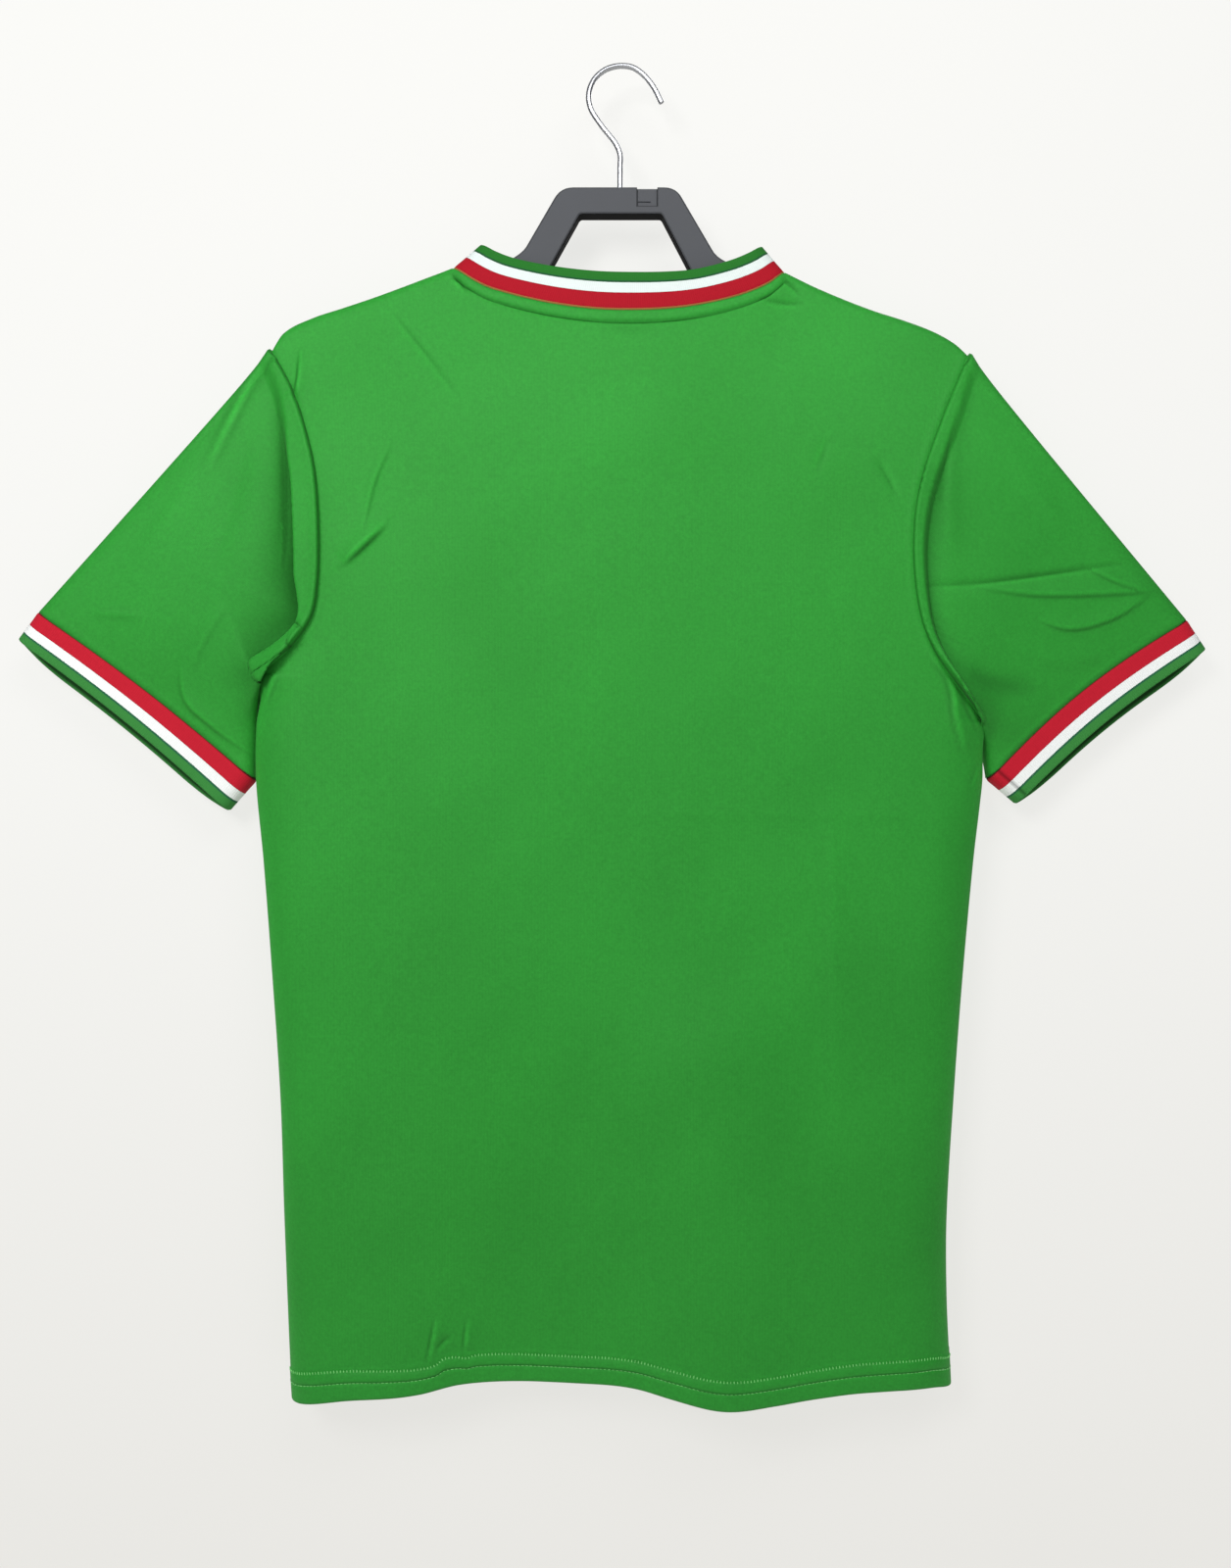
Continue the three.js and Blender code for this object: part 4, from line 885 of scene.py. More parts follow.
def knitted_band(name, seam, edge, facing_ring, join=None, seam_pull=0.5):
    """seam and edge are rings of points in mm; facing_ring points outwards; join is the column of
    the seam that closes the band."""
    way_out = np.linspace(0, 1, BAND_ROWS)
    tall = np.linalg.norm(edge - seam, axis=1).mean()
    flat = seam[None] + (edge - seam)[None] * way_out[:, None, None]
    normals = grid_normals(flat, True)
    middle = seam.shape[0] // 4
    normals *= np.sign((normals[BAND_ROWS // 2, middle] * facing_ring[middle]).sum())
    lead = unit(edge - seam)
    half = BAND_HALF - seam_pull * bell(way_out * tall, 1.0)
    half = half + 0.10 * bell(way_out * tall - 3.0, 2.5)
    run = ring_run(flat)
    from_join = np.full(len(run), 1e3) if join is None else np.abs(run - run[join])
    outer = flat + normals * (half[:, None] - 0.6 * bell(from_join, 0.8))[..., None]
    inner = flat[::-1] - normals[::-1] * half[::-1, None, None]
    turn = np.linspace(0, np.pi, ROUND_ROWS + 2)[1:-1]
    tip = np.stack([flat[-1] + normals[-1] * BAND_HALF * math.cos(a) + lead * BAND_HALF * math.sin(a)
                    for a in turn])
    loop = np.concatenate([outer, tip, inner])
    share = np.r_[way_out, np.ones(ROUND_ROWS), way_out[::-1]]
    count, wide = loop.shape[:2]
    run_turn = run[-1] + np.linalg.norm(flat[0, 0] - flat[0, -1])
    faces, corners = [], []
    for i in range(count):
        k = (i + 1) % count
        for j in range(wide):
            m = (j + 1) % wide
            u0, u1 = run[j], run[m] if m else run_turn
            faces.append([i * wide + j, i * wide + m, k * wide + m, k * wide + j])
            corners.extend([(u0 * MM, share[i]), (u1 * MM, share[i]),
                            (u1 * MM, share[k]), (u0 * MM, share[k])])
    points = loop.reshape(-1, 3)
    if inside_out(points, faces):
        faces = [face[::-1] for face in faces]
        corners = [corner for k in range(0, len(corners), 4) for corner in corners[k:k + 4][::-1]]
    made = new_object(name, points, faces, corners)
    # Painted shade: the inner face of the band, away from the fold, and the seam and the join are darkened.
    inside = np.r_[np.zeros(BAND_ROWS + ROUND_ROWS), smooth((1 - way_out[::-1]) * tall / 1.6 + 0.25)]
    seams = np.maximum(0.55 * bell(way_out * tall, 0.7)[:, None], 0.75 * bell(from_join, 0.7))
    shade = inside[:, None] + np.vstack([seams, np.zeros((ROUND_ROWS + BAND_ROWS, wide))])
    add_shade(made, shade.ravel())
    print(f"{name}: {tall:.1f} mm tall, {run_turn:.0f} mm round")
    return made


# %% Cuffs
JOIN_FROM_FOLD = 9.5


def cuff(name):
    part = sleeves[name]
    ring, seam = part["ring"], part["grid"][-1]
    edge = cuff_points(SIDES[name]["cuff_edge"], ring["toward"], fan(ring["share"]), CUFF_OVERHANG)
    start = seam + unit(edge - seam) * 0.15
    outward = np.stack([0 * ring["toward"], ring["toward"], 0 * ring["toward"]], -1)
    to_fold = np.linalg.norm(edge - edge[np.argmax(ring["share"])], axis=1) + 1e3 * (ring["toward"] > 0)
    join = int(np.argmin(np.abs(to_fold - JOIN_FROM_FOLD))) if name == "right" else None
    return knitted_band(f"cuff_{name}_band", start, edge, outward, join)


cuffs = {name: cuff(name) for name in SIDES}

# %% Collar
COLLAR_EDGE = [
    (-91.7, -114.9), (-81.6, -121.4), (-65.8, -127.4), (-34.7, -133.7), (-3.8, -136.3),
    (39.5, -134.9), (64.5, -128.8), (80.3, -122.2), (89.2, -116.1)]
COLLAR_FOLD = 8.2
COLLAR_FOLD_WIDE = 8
COLLAR_LEAN = 5.5
COLLAR_LEAN_FRONT = 1.5
COLLAR_RISE = 8


def collar_band():
    span = slice(neck_column_from, neck_column_to + 1)
    share = (columns[span] - neck_from) / (neck_to - neck_from)
    seam = np.concatenate([back["grid"][-1, span], front["grid"][-1, span][::-1][1:-1]])
    outward = np.concatenate([back["normals"][-1, span], front["normals"][-1, span][::-1][1:-1]])
    toward = np.r_[-np.ones(len(share)), np.ones(len(share) - 2)]
    share = np.r_[share, share[::-1][1:-1]]
    seam[[0, np.argmax(share)], 1] = 0
    (low_x, low_z), (high_x, high_z) = COLLAR_EDGE[0], COLLAR_EDGE[-1]
    x = lerp(low_x, high_x, share)
    across = np.clip(2 * share - 1, -1, 1)
    front_z = lerp(low_z, high_z, share) - neck_dip(NECK_FRONT_DROP - COLLAR_RISE, across)
    z = np.where(toward < 0, read_line(COLLAR_EDGE, x), front_z)
    from_fold = np.minimum(share, 1 - share) * (high_x - low_x)
    lean = np.sin(np.pi * share)
    out = COLLAR_FOLD * quarter_round(from_fold / COLLAR_FOLD_WIDE) + COLLAR_LEAN * lean
    edge = np.stack([x, np.where(toward < 0, -out, out - COLLAR_LEAN_FRONT * lean), z], -1)
    start = seam + unit(edge - seam) * 0.4
    return knitted_band("collar_band", start, edge, np.stack([0 * toward, toward, 0 * toward], -1))


collar = collar_band()

# %% [markdown]
# The wire hook is bent from one length of bright wire, so it is a tube swept along a smooth path.
# The cut end is slightly rounded. It could be a bevelled curve, but a mesh swept here needs
# no conversion, and its rings lie exactly where the path bends.

# %% Wire hook
WIRE_RADIUS = 1.75
WIRE_SIDES = 20
WIRE_RINGS = 150
HOOK_PATH = [
    (-2.1, -88.2), (-2.1, -76.0), (-2.1, -64.0), (-2.1, -55.0), (-4.6, -48.6), (-14.2, -36.2),
    (-20.8, -25.6), (-22.2, -16.4), (-19.0, -7.4), (-12.3, -1.2), (-6.0, 1.2), (0.0, 1.75),
    (6.0, 0.7), (13.0, -4.0), (19.5, -12.0), (24.5, -21.9)]


def swept_wire(name, knots, radius):
    path = along(smooth_path(knots), np.linspace(0, 1, WIRE_RINGS))
    lead = unit(np.gradient(path, axis=0))
    side = np.stack([-lead[:, 1], lead[:, 0]], -1)
    turns = np.linspace(0, 2 * np.pi, WIRE_SIDES, endpoint=False)
    last = WIRE_RINGS - 1
    sections = [(0, 0.0, 0.5), (0, 0.10, 0.85), (0, 0.3, 1.0)] + [(k, 0, 1.0) for k in range(1, WIRE_RINGS)]
    sections += [(last, -0.10, 0.85), (last, 0.0, 0.5)]
    rings = []
    for k, shift, scale in sections:
        at = path[k] + lead[k] * shift
        x = at[0] + side[k, 0] * radius * scale * np.cos(turns)
        z = at[1] + side[k, 1] * radius * scale * np.cos(turns)
        rings.append(np.stack([x, radius * scale * np.sin(turns), z], -1))
    points = np.vstack(rings)
    n = WIRE_SIDES
    faces = [[r * n + j, r * n + (j + 1) % n, (r + 1) * n + (j + 1) % n, (r + 1) * n + j]
             for r in range(len(rings) - 1) for j in range(n)]
    faces += [list(range(n))[::-1], list(range((len(rings) - 1) * n, len(rings) * n))]
    if inside_out(points, faces):
        faces = [face[::-1] for face in faces]
    return new_object(name, points, faces, None, 70)


hook = swept_wire("hook_wire", HOOK_PATH, WIRE_RADIUS)
print("hook:", len(hook.data.polygons), "faces")

# %% [markdown]
# The hem's stitches repeat along a line, so Geometry Nodes lay them. One tree serves both rows: it
# spaces points along a line, puts a small bead of thread on each, turns it to the line, and can
# set it along the line, for the straight row, or upright, for the row above. The fixed seed makes
# the stitches slightly uneven in the same way each time.

# %% Node helpers
def set_inputs(tree, node, inputs):
    """Each input is either linked to another node's output or set to a value."""
    for key, value in inputs.items():
        if hasattr(value, "links"):
            tree.links.new(value, node.inputs[key])
        else:
            node.inputs[key].default_value = value


def add_node(tree, kind, inputs=None, **settings):
    node = tree.nodes.new(kind)
    for key, value in settings.items():
        setattr(node, key, value)
    set_inputs(tree, node, inputs or {})
    return node


# %% Stitch-laying tree
BEAD_SEGMENTS, BEAD_RINGS = 7, 5
LEAST_STITCH, LARGEST_STITCH = (0.86, 0.84, 0.9), (1.1, 1.14, 1.1)


def stitch_tree():
    tree = bpy.data.node_groups.new("lay_stitches", "GeometryNodeTree")
    face = tree.interface
    face.new_socket("Geometry", in_out="INPUT", socket_type="NodeSocketGeometry")
    for label, kind, value in (
            ("Spacing", "NodeSocketFloat", 0.002), ("Along", "NodeSocketFloat", 0.001),
            ("Upright", "NodeSocketFloat", 0.0003), ("Raised", "NodeSocketFloat", 0.0003),
            ("Outward", "NodeSocketVector", (0, -1, 0)), ("Seed", "NodeSocketInt", 1),
            ("Thread", "NodeSocketMaterial", None)):
        socket = face.new_socket(label, in_out="INPUT", socket_type=kind)
        if value is not None:
            socket.default_value = value
    face.new_socket("Geometry", in_out="OUTPUT", socket_type="NodeSocketGeometry")
    given = add_node(tree, "NodeGroupInput").outputs
    line = add_node(tree, "GeometryNodeMeshToCurve", {"Mesh": given["Geometry"]})
    spaced = add_node(tree, "GeometryNodeResampleCurve",
                      {"Curve": line.outputs["Curve"], "Length": given["Spacing"]}, mode="LENGTH")
    bead = add_node(tree, "GeometryNodeMeshUVSphere",
                    {"Segments": BEAD_SEGMENTS, "Rings": BEAD_RINGS, "Radius": 1.0})
    size = add_node(tree, "ShaderNodeCombineXYZ",
                    {0: given["Along"], 1: given["Upright"], 2: given["Raised"]})
    shaped = add_node(tree, "GeometryNodeTransform",
                      {"Geometry": bead.outputs["Mesh"], "Scale": size.outputs[0]})
    tangent = add_node(tree, "GeometryNodeInputTangent")
    to_line = add_node(tree, "FunctionNodeAlignRotationToVector",
                       {"Vector": tangent.outputs[0]}, axis="X")
    to_face = add_node(tree, "FunctionNodeAlignRotationToVector",
                       {"Rotation": to_line.outputs[0], "Vector": given["Outward"]},
                       axis="Z", pivot_axis="X")
    uneven = add_node(tree, "FunctionNodeRandomValue",
                      {"Min": LEAST_STITCH, "Max": LARGEST_STITCH, "Seed": given["Seed"]},
                      data_type="FLOAT_VECTOR")
    placed = add_node(tree, "GeometryNodeInstanceOnPoints",
                      {"Points": spaced.outputs["Curve"], "Instance": shaped.outputs["Geometry"],
                       "Rotation": to_face.outputs[0], "Scale": uneven.outputs["Value"]})
    real = add_node(tree, "GeometryNodeRealizeInstances", {"Geometry": placed.outputs["Instances"]})
    smoothed = add_node(tree, "GeometryNodeSetShadeSmooth", {"Geometry": real.outputs["Geometry"]})
    thread = add_node(tree, "GeometryNodeSetMaterial",
                      {"Geometry": smoothed.outputs["Geometry"], "Material": given["Thread"]})
    add_node(tree, "NodeGroupOutput", {"Geometry": thread.outputs["Geometry"]})
    return tree


STITCHES = stitch_tree()


def lay_stitches(name, points, material, **given):
    """Runs the tree along a line of points, in mm, and keeps the result as a plain mesh."""
    mesh = bpy.data.meshes.new(name + "_line")
    mesh.from_pydata((points * MM).tolist(), [(k, k + 1) for k in range(len(points) - 1)], [])
    guide = bpy.data.objects.new(name + "_line", mesh)
    bpy.context.scene.collection.objects.link(guide)
    laid = guide.modifiers.new("stitches", "NODES")
    laid.node_group = STITCHES
    sockets = {item.name: item.identifier for item in STITCHES.interface.items_tree
               if item.in_out == "INPUT"}
    laid[sockets["Thread"]] = material
    for label, value in given.items():
        laid[sockets[label]] = value
    graph = bpy.context.evaluated_depsgraph_get()
    result = bpy.data.meshes.new_from_object(guide.evaluated_get(graph))
    bpy.data.objects.remove(guide)
    result.name = name
    made = bpy.data.objects.new(name, result)
    bpy.context.scene.collection.objects.link(made)
    print(f"{name}: {len(result.polygons)} faces")
    return made


# %% [markdown]
# Materials come next. The body cloth is a smooth polyester knit: fine upright rows of loops,
# a soft sheen, and a colour that hardly varies. A node group draws the loops from the cloth's own
# UV map, which is in metres, so that the rows run the way the cloth was knitted and turn with
# the sleeve. The same group, at another size, gives the bands their ribs.

# %% The knit group
def maths(tree, operation, *values):
    return add_node(tree, "ShaderNodeMath", dict(enumerate(values)), operation=operation).outputs[0]


def scaled(tree, value, factor, plus):
    return maths(tree, "ADD", maths(tree, "MULTIPLY", value, factor), plus)


def object_noise(tree, scale, detail, roughness=0.5):
    """Unevenness from 0 to 1 that stays on the piece."""
    place = add_node(tree, "ShaderNodeTexCoord").outputs["Object"]
    return add_node(tree, "ShaderNodeTexNoise", {"Vector": place, "Scale": scale, "Detail": detail,
                                                 "Roughness": roughness}).outputs["Fac"]


def two_tone(tree, share, low, high):
    return add_node(tree, "ShaderNodeMix", {0: share, 6: low, 7: high}, data_type="RGBA").outputs[2]


def times_grey(tree, colour, grey):
    tone = add_node(tree, "ShaderNodeCombineXYZ", {0: grey, 1: grey, 2: grey}).outputs[0]
    return add_node(tree, "ShaderNodeMix", {0: 1.0, 6: colour, 7: tone},
                    data_type="RGBA", blend_type="MULTIPLY").outputs[2]


def raised(tree, height, strength, distance):
    return add_node(tree, "ShaderNodeBump",
                    {"Strength": strength, "Distance": distance, "Height": height}).outputs[0]


def from_uv(tree, axis):
    flat = add_node(tree, "ShaderNodeUVMap", uv_map="UVMap").outputs[0]
    return add_node(tree, "ShaderNodeSeparateXYZ", {0: flat}).outputs[axis]


def knit_group():
    """Loops of knitting, a slow mottle and a fine grain, each from 0 to 1."""
    tree = bpy.data.node_groups.new("knit_loops", "ShaderNodeTree")
    face = tree.interface
    for label, value in (("Loop width", 0.0009), ("Loop height", 0.0007), ("Mottle size", 0.012),
                         ("Grain size", 0.0019)):
        face.new_socket(label, in_out="INPUT", socket_type="NodeSocketFloat").default_value = value
    for label in ("Height", "Mottle", "Grain"):
        face.new_socket(label, in_out="OUTPUT", socket_type="NodeSocketFloat")
    given = add_node(tree, "NodeGroupInput").outputs
    column = maths(tree, "DIVIDE", from_uv(tree, 0), given["Loop width"])
    course = maths(tree, "DIVIDE", from_uv(tree, 1), given["Loop height"])
    arch = maths(tree, "ABSOLUTE", maths(tree, "SINE", maths(tree, "MULTIPLY", column, math.pi)))
    turn = maths(tree, "MULTIPLY", scaled(tree, arch, 0.6, course), 2 * math.pi)
    courses = maths(tree, "MULTIPLY", maths(tree, "SINE", turn), 0.19)
    add_node(tree, "NodeGroupOutput", {
        "Height": scaled(tree, arch, 0.62, courses),
        "Mottle": object_noise(tree, maths(tree, "DIVIDE", 1.0, given["Mottle size"]), 4.0, 0.65),
        "Grain": object_noise(tree, maths(tree, "DIVIDE", 1.0, given["Grain size"]), 3.0, 0.7)})
    return tree


KNIT = knit_group()


def srgb(red, green, blue):
    """Colour from 0 to 255 steps to Blender's linear values."""
    steps = [c / 255 for c in (red, green, blue)]
    return (*[c / 12.92 if c <= 0.04045 else ((c + 0.055) / 1.055) ** 2.4 for c in steps], 1.0)


def new_material(name):
    material = bpy.data.materials.new(name)
    material.use_nodes = True
    return material, material.node_tree, material.node_tree.nodes["Principled BSDF"]


# %% [markdown]
# Polyester knit scatters light at a grazing angle, which is what the sheen of the shader stands
# for. Its gloss is broad and weak, and weaker still in the folds. The two greens differ by a few
# percent only, and the group's mottle mixes them, so that the cloth isn't one flat colour. Each
# mesh carries a Shade for every point, which is painted into the colour: painted shade where it is
# above 0, along seams and in deep folds, and painted light where it is below 0, on crests and
# turned edges. It also carries a slow uneven tone.

# %% Jersey cloth
GREEN_LIGHT = (0.0235, 0.272, 0.0290, 1.0)
GREEN_DEEP = (0.0195, 0.244, 0.0250, 1.0)
SHADE_DEPTH = 0.68
BAND_SHADE_DEPTH = 0.72
FOLD_ROUGH = 0.4


def shade_of(tree):
    return add_node(tree, "ShaderNodeAttribute", attribute_name="Shade").outputs["Fac"]


# Paints the Shade into a colour: painted shade where it is above 0, painted light where it is below 0.
def dimmed(tree, grey, depth):
    lost = maths(tree, "MULTIPLY", shade_of(tree), depth)
    return maths(tree, "MULTIPLY", grey, maths(tree, "SUBTRACT", 1.0, lost))


def cloth_material(name, light, deep):
    material, tree, shader = new_material(name)
    knit = add_node(tree, "ShaderNodeGroup",
                    {"Loop width": 0.0009, "Loop height": 0.0007, "Mottle size": 0.009}, node_tree=KNIT)
    height, mottle, grain = (knit.outputs[label] for label in ("Height", "Mottle", "Grain"))
    grey = dimmed(tree, scaled(tree, grain, 0.50, scaled(tree, height, 0.10, 0.70)), SHADE_DEPTH)
    in_fold = maths(tree, "MAXIMUM", shade_of(tree), 0.0)
    set_inputs(tree, shader, {
        "Base Color": times_grey(tree, two_tone(tree, mottle, deep, light), grey),
        "Normal": raised(tree, scaled(tree, mottle, 0.9, height), 0.22, 0.0003),
        "Roughness": scaled(tree, in_fold, FOLD_ROUGH, scaled(tree, mottle, 0.1, 0.55)),
        "Specular IOR Level": 0.17, "Sheen Weight": 0.05, "Sheen Roughness": 0.4,
        "Sheen Tint": (0.55, 1.0, 0.55, 1.0)})
    return material


body_cloth = cloth_material("jersey_cloth", GREEN_LIGHT, GREEN_DEEP)

# %% [markdown]
# The bands carry their stripes in the knitting itself, so the colour follows the band: the V of
# the UV map runs from the seam, 0, to the folded edge, 1. A colour ramp with constant steps gives
# the stripes, and a thin darker course marks where one yarn gives way to the next.

# %% Striped rib
COLLAR_STRIPES = [
    (0.0, (0.36, 0.17, 0.05)), (0.045, (0.36, 0.0065, 0.0165)), (0.462, (0.66, 0.73, 0.71)),
    (0.738, (0.013, 0.08, 0.027)), (0.79, (0.018, 0.15, 0.019))]
CUFF_STRIPES = [
    (0.0, (0.15, 0.015, 0.015)), (0.03, (0.50, 0.012, 0.028)), (0.462, (0.84, 0.86, 0.85)),
    (0.738, (0.020, 0.12, 0.055)), (0.79, (0.040, 0.225, 0.045))]
WHITE_STARTS = 0.462
COURSE_HALF = 0.014


def stripe_ramp(tree, share, stripes):
    ramp = add_node(tree, "ShaderNodeValToRGB", {0: share})
    ramp.color_ramp.interpolation = "CONSTANT"
    ramp.color_ramp.elements.remove(ramp.color_ramp.elements[1])
    ramp.color_ramp.elements[0].color = (*stripes[0][1], 1)
    for start, color in stripes[1:]:
        ramp.color_ramp.elements.new(start).color = (*color, 1)
    return ramp.outputs[0]


def rib_material(name, stripes):
    material, tree, shader = new_material(name)
    knit = add_node(tree, "ShaderNodeGroup",
                    {"Loop width": 0.0013, "Loop height": 0.035, "Mottle size": 0.006}, node_tree=KNIT)
    height, mottle = knit.outputs["Height"], knit.outputs["Mottle"]
    share = from_uv(tree, 1)
    off_course = maths(tree, "ABSOLUTE", maths(tree, "SUBTRACT", share, WHITE_STARTS))
    course = maths(tree, "LESS_THAN", off_course, COURSE_HALF)
    grey = scaled(tree, mottle, 0.06, scaled(tree, height, 0.12, 0.88))
    grey = maths(tree, "SUBTRACT", grey, maths(tree, "MULTIPLY", course, 0.16))
    # Painted shade from the Shade attribute: darker inside the band and at its seam and join.
    grey = dimmed(tree, grey, BAND_SHADE_DEPTH)
    height = maths(tree, "SUBTRACT", height, maths(tree, "MULTIPLY", course, 0.8))
    set_inputs(tree, shader, {
        "Base Color": times_grey(tree, stripe_ramp(tree, share, stripes), grey),
        "Normal": raised(tree, height, 0.35, 0.0004), "Roughness": 0.72,
        "Specular IOR Level": 0.08, "Sheen Weight": 0.02, "Sheen Roughness": 0.5})
    return material


collar_rib = rib_material("collar_rib", COLLAR_STRIPES)
cuff_rib = rib_material("cuff_rib", CUFF_STRIPES)

# %% Sewing thread
thread, tree, shader = new_material("sewing_thread")
twist = object_noise(tree, 900.0, 2.0)
set_inputs(tree, shader, {
    "Base Color": two_tone(tree, twist, srgb(112, 205, 108), srgb(140, 225, 134)),
    "Roughness": 0.45, "Sheen Weight": 0.2})

# %% [markdown]
# The hanger is moulded from grey plastic with a fine satin grain, so its gloss breaks up at a
# very small scale. Its narrow faces carry a painted shade that makes them nearly black, and they
# are dull, and a thin painted shade line runs round the seat that is moulded for a size marker.

# %% Moulded plastic
PLASTIC_DEEP, PLASTIC_LIGHT = (0.046, 0.049, 0.056, 1), (0.058, 0.062, 0.070, 1)
SIDE_PAINTED_SHADE = 0.05
SEAT_X, SEAT_Z = (0.0152, 0.0065), (-0.0801, 0.0102)

plastic, tree, shader = new_material("moulded_plastic")
normal = add_node(tree, "ShaderNodeNewGeometry").outputs["Normal"]
place = add_node(tree, "ShaderNodeTexCoord").outputs["Object"]
facing = maths(tree, "ABSOLUTE", add_node(tree, "ShaderNodeSeparateXYZ", {0: normal}).outputs[1])
spot = add_node(tree, "ShaderNodeSeparateXYZ", {0: place})


def from_middle(axis, middle, half):
    off = maths(tree, "SUBTRACT", spot.outputs[axis], middle)
    return maths(tree, "SUBTRACT", maths(tree, "ABSOLUTE", off), half)


# Painted shade: a thin dark line round the size marker's seat, and nearly black narrow faces.
border = maths(tree, "ABSOLUTE", maths(tree, "MAXIMUM", from_middle(0, *SEAT_X), from_middle(2, *SEAT_Z)))
seat_shade_line = add_node(tree, "ShaderNodeMapRange", {0: border, 1: 0.0002, 2: 0.0006, 3: 0.35, 4: 1.0})
broad = add_node(tree, "ShaderNodeMapRange", {0: facing, 1: 0.80, 2: 0.985, 3: SIDE_PAINTED_SHADE, 4: 1.0})
broad = maths(tree, "MULTIPLY", broad.outputs[0], seat_shade_line.outputs[0])
flow = object_noise(tree, 22.0, 3.0)
set_inputs(tree, shader, {
    "Base Color": times_grey(tree, two_tone(tree, flow, PLASTIC_DEEP, PLASTIC_LIGHT), broad),
    "Normal": raised(tree, object_noise(tree, 1400.0, 3.0), 0.18, 0.0002),
    "Roughness": scaled(tree, maths(tree, "SUBTRACT", 1.0, broad), 0.45, scaled(tree, flow, 0.12, 0.42)),
    "Specular IOR Level": 0.25})

# %% [markdown]
# The wire is bright drawn steel, a plain metal. It is a little uneven from the drawing, and so
# its tone and its gloss change slightly from place to place.

# %% Bright wire
STEEL_DEEP, STEEL_LIGHT = (0.40, 0.41, 0.43, 1), (0.44, 0.45, 0.47, 1)

steel, tree, shader = new_material("bright_wire")
drawn = object_noise(tree, 320.0, 2.0)
set_inputs(tree, shader, {
    "Base Color": two_tone(tree, drawn, STEEL_DEEP, STEEL_LIGHT),
    "Roughness": scaled(tree, drawn, 0.04, 0.30), "Metallic": 1.0})

# %% Hem stitches
STITCH_LIFT = 0.12
UPRIGHT_SHARE = 1.04


def hem_line(panel, share_of_rows):
    out, above = panel["out"], panel["above"]
    places = read_line(STITCH_ROW, panel["grid"][0, :, 0]) * share_of_rows
    line = np.array([[np.interp(places[j], above[:, j], out[:, j, k]) for k in range(3)]
                     for j in range(3, out.shape[1] - 3)])
    return line


stitches = {}
for side_name, panel, toward in (("back", back, -1), ("front", front, 1)):
    lift = np.array([0, toward * STITCH_LIFT, 0])
    stitches[side_name] = [
        lay_stitches(f"hem_{side_name}_upright", hem_line(panel, UPRIGHT_SHARE) + lift, thread,
                     Spacing=0.0021, Along=0.00028, Upright=0.0011, Raised=0.0003,
                     Outward=(0.0, float(toward), 0.0), Seed=5),
        lay_stitches(f"hem_{side_name}_straight", hem_line(panel, STRAIGHT_SHARE) + lift, thread,
                     Spacing=0.0026, Along=0.0011, Upright=0.00026, Raised=0.00026,
                     Outward=(0.0, float(toward), 0.0), Seed=8)]

# %% [markdown]
# Every new piece now takes its material and moves with the root body, and the solid that it
# stands for is hidden.

# %% Materials and bodies
def finish_piece(obj, material, node):
    obj.data.materials.clear()
    obj.data.materials.append(material)
    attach(obj, "root")
    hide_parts(node)


for side_name, made in stitches.items():
    for row in made:
        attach(row, "root")

finish_piece(back["object"], body_cloth, "back")
finish_piece(front["object"], body_cloth, "front")
finish_piece(sleeves["left"]["object"], body_cloth, "sleeve_left")
finish_piece(sleeves["right"]["object"], body_cloth, "sleeve_right")
finish_piece(collar, collar_rib, "collar")
finish_piece(cuffs["left"], cuff_rib, "cuff_left")
finish_piece(cuffs["right"], cuff_rib, "cuff_right")
finish_piece(hook, steel, "hanger_hook")

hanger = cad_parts["hanger_frame"]
hanger.data.materials.clear()
hanger.data.materials.append(plastic)

# %% [markdown]
# The stage is a plain pale wall close behind the jersey, which catches its soft shadows, and a
# floor. Both glow a little, a painted light that keeps their shadows faint, and the glow is weaker
# low down. The wall is only there for the camera in front of it: seen from behind it is clear, so
# that the front of the jersey can be looked at too.

# %% Wall and floor
def stage_plane(name, corners, material):
    mesh = bpy.data.meshes.new(name)
    mesh.from_pydata(corners, [], [list(range(len(corners)))])
    made = bpy.data.objects.new(name, mesh)
    made.data.materials.append(material)
    bpy.context.scene.collection.objects.link(made)
    return made


PAINT = (0.12, 0.119, 0.115, 1)
# Painted light: the stage glows, and less low down.
GLOW_HIGH = (0.77, 0.77, 0.75, 1)
GLOW_LOW = (0.70, 0.692, 0.664, 1)


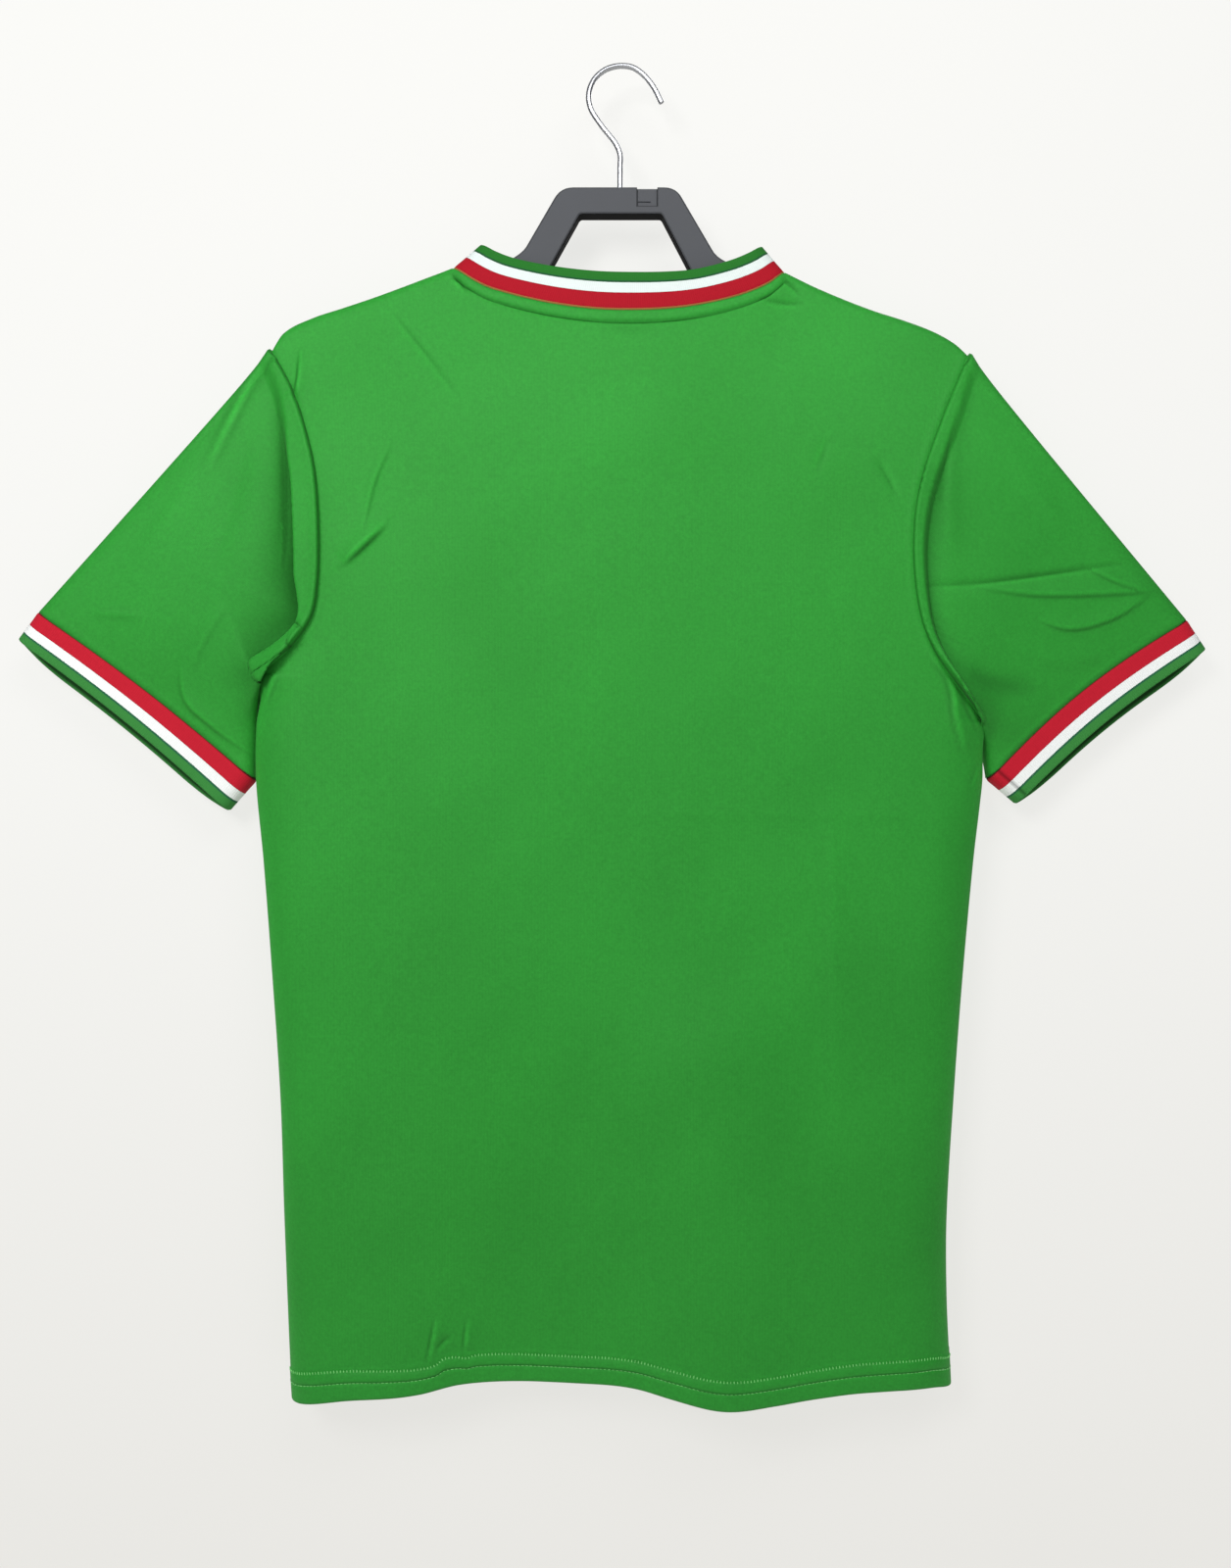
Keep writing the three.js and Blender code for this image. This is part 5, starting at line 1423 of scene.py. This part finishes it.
def glowing_stage_material(name, clear_behind):
    material, tree, shader = new_material(name)
    place = add_node(tree, "ShaderNodeTexCoord").outputs["Object"]
    height = add_node(tree, "ShaderNodeSeparateXYZ", {0: place}).outputs[2]
    low = add_node(tree, "ShaderNodeMapRange", {0: height, 1: -1.0, 2: -0.4, 3: 1.0, 4: 0.0}).outputs[0]
    # The glow is painted light that keeps shadows on the stage faint.
    set_inputs(tree, shader, {
        "Base Color": PAINT, "Roughness": 0.75, "Specular IOR Level": 0.2,
        "Emission Color": two_tone(tree, low, GLOW_HIGH, GLOW_LOW), "Emission Strength": 1.0,
        "Normal": raised(tree, object_noise(tree, 140.0, 3.0), 0.06, 0.001)})
    if clear_behind:
        camera_ray = add_node(tree, "ShaderNodeLightPath").outputs["Is Camera Ray"]
        behind = add_node(tree, "ShaderNodeNewGeometry").outputs["Backfacing"]
        shown = maths(tree, "MULTIPLY", camera_ray, maths(tree, "SUBTRACT", 1.0, behind))
        clear = add_node(tree, "ShaderNodeBsdfTransparent")
        mixed = add_node(tree, "ShaderNodeMixShader",
                         {0: shown, 1: clear.outputs[0], 2: shader.outputs[0]})
        tree.links.new(mixed.outputs[0], tree.nodes["Material Output"].inputs["Surface"])
    return material


WALL_Y = 0.027
FLOOR_Z = -1.25
stage_plane("wall", [(-4, WALL_Y, FLOOR_Z), (4, WALL_Y, FLOOR_Z), (4, WALL_Y, 3), (-4, WALL_Y, 3)],
            glowing_stage_material("wall_paint_and_glow", True))
stage_plane("floor", [(-4, -4, FLOOR_Z), (4, -4, FLOOR_Z), (4, 4, FLOOR_Z), (-4, 4, FLOOR_Z)],
            glowing_stage_material("floor_paint_and_glow", False))

# %% [markdown]
# The light is that of a bright room: one large soft lamp high in front, a weaker one to fill,
# and an even pale surround. A lamp behind the wall does nothing in the main picture, because
# the wall only shows to the camera, but it lights the front of the jersey for a look from behind.

# %% Light
def soft_lamp(name, place, aim, size, power):
    data = bpy.data.lights.new(name, "AREA")
    data.shape = "RECTANGLE"
    data.size, data.size_y = size
    data.energy = power
    lamp = bpy.data.objects.new(name, data)
    lamp.location = place
    lamp.rotation_euler = (Vector(aim) - Vector(place)).to_track_quat("-Z", "Y").to_euler()
    bpy.context.scene.collection.objects.link(lamp)


soft_lamp("lamp_high", place=(-0.6, -1.2, 0.2), aim=(0, 0, -0.2), size=(0.5, 0.5), power=14.6)
soft_lamp("lamp_top", place=(0.3, -0.9, 0.5), aim=(0, 0, -0.2), size=(0.8, 0.5), power=7.4)
soft_lamp("lamp_behind", place=(0.2, 2.0, 0.9), aim=(0, 0, -0.45), size=(1.8, 1.4), power=40)
world = bpy.data.worlds.new("room")
world.use_nodes = True
world.node_tree.nodes["Background"].inputs["Color"].default_value = (0.95, 0.97, 1.0, 1)
world.node_tree.nodes["Background"].inputs["Strength"].default_value = 0.18
bpy.context.scene.world = world
bpy.context.scene.view_settings.view_transform = "Standard"
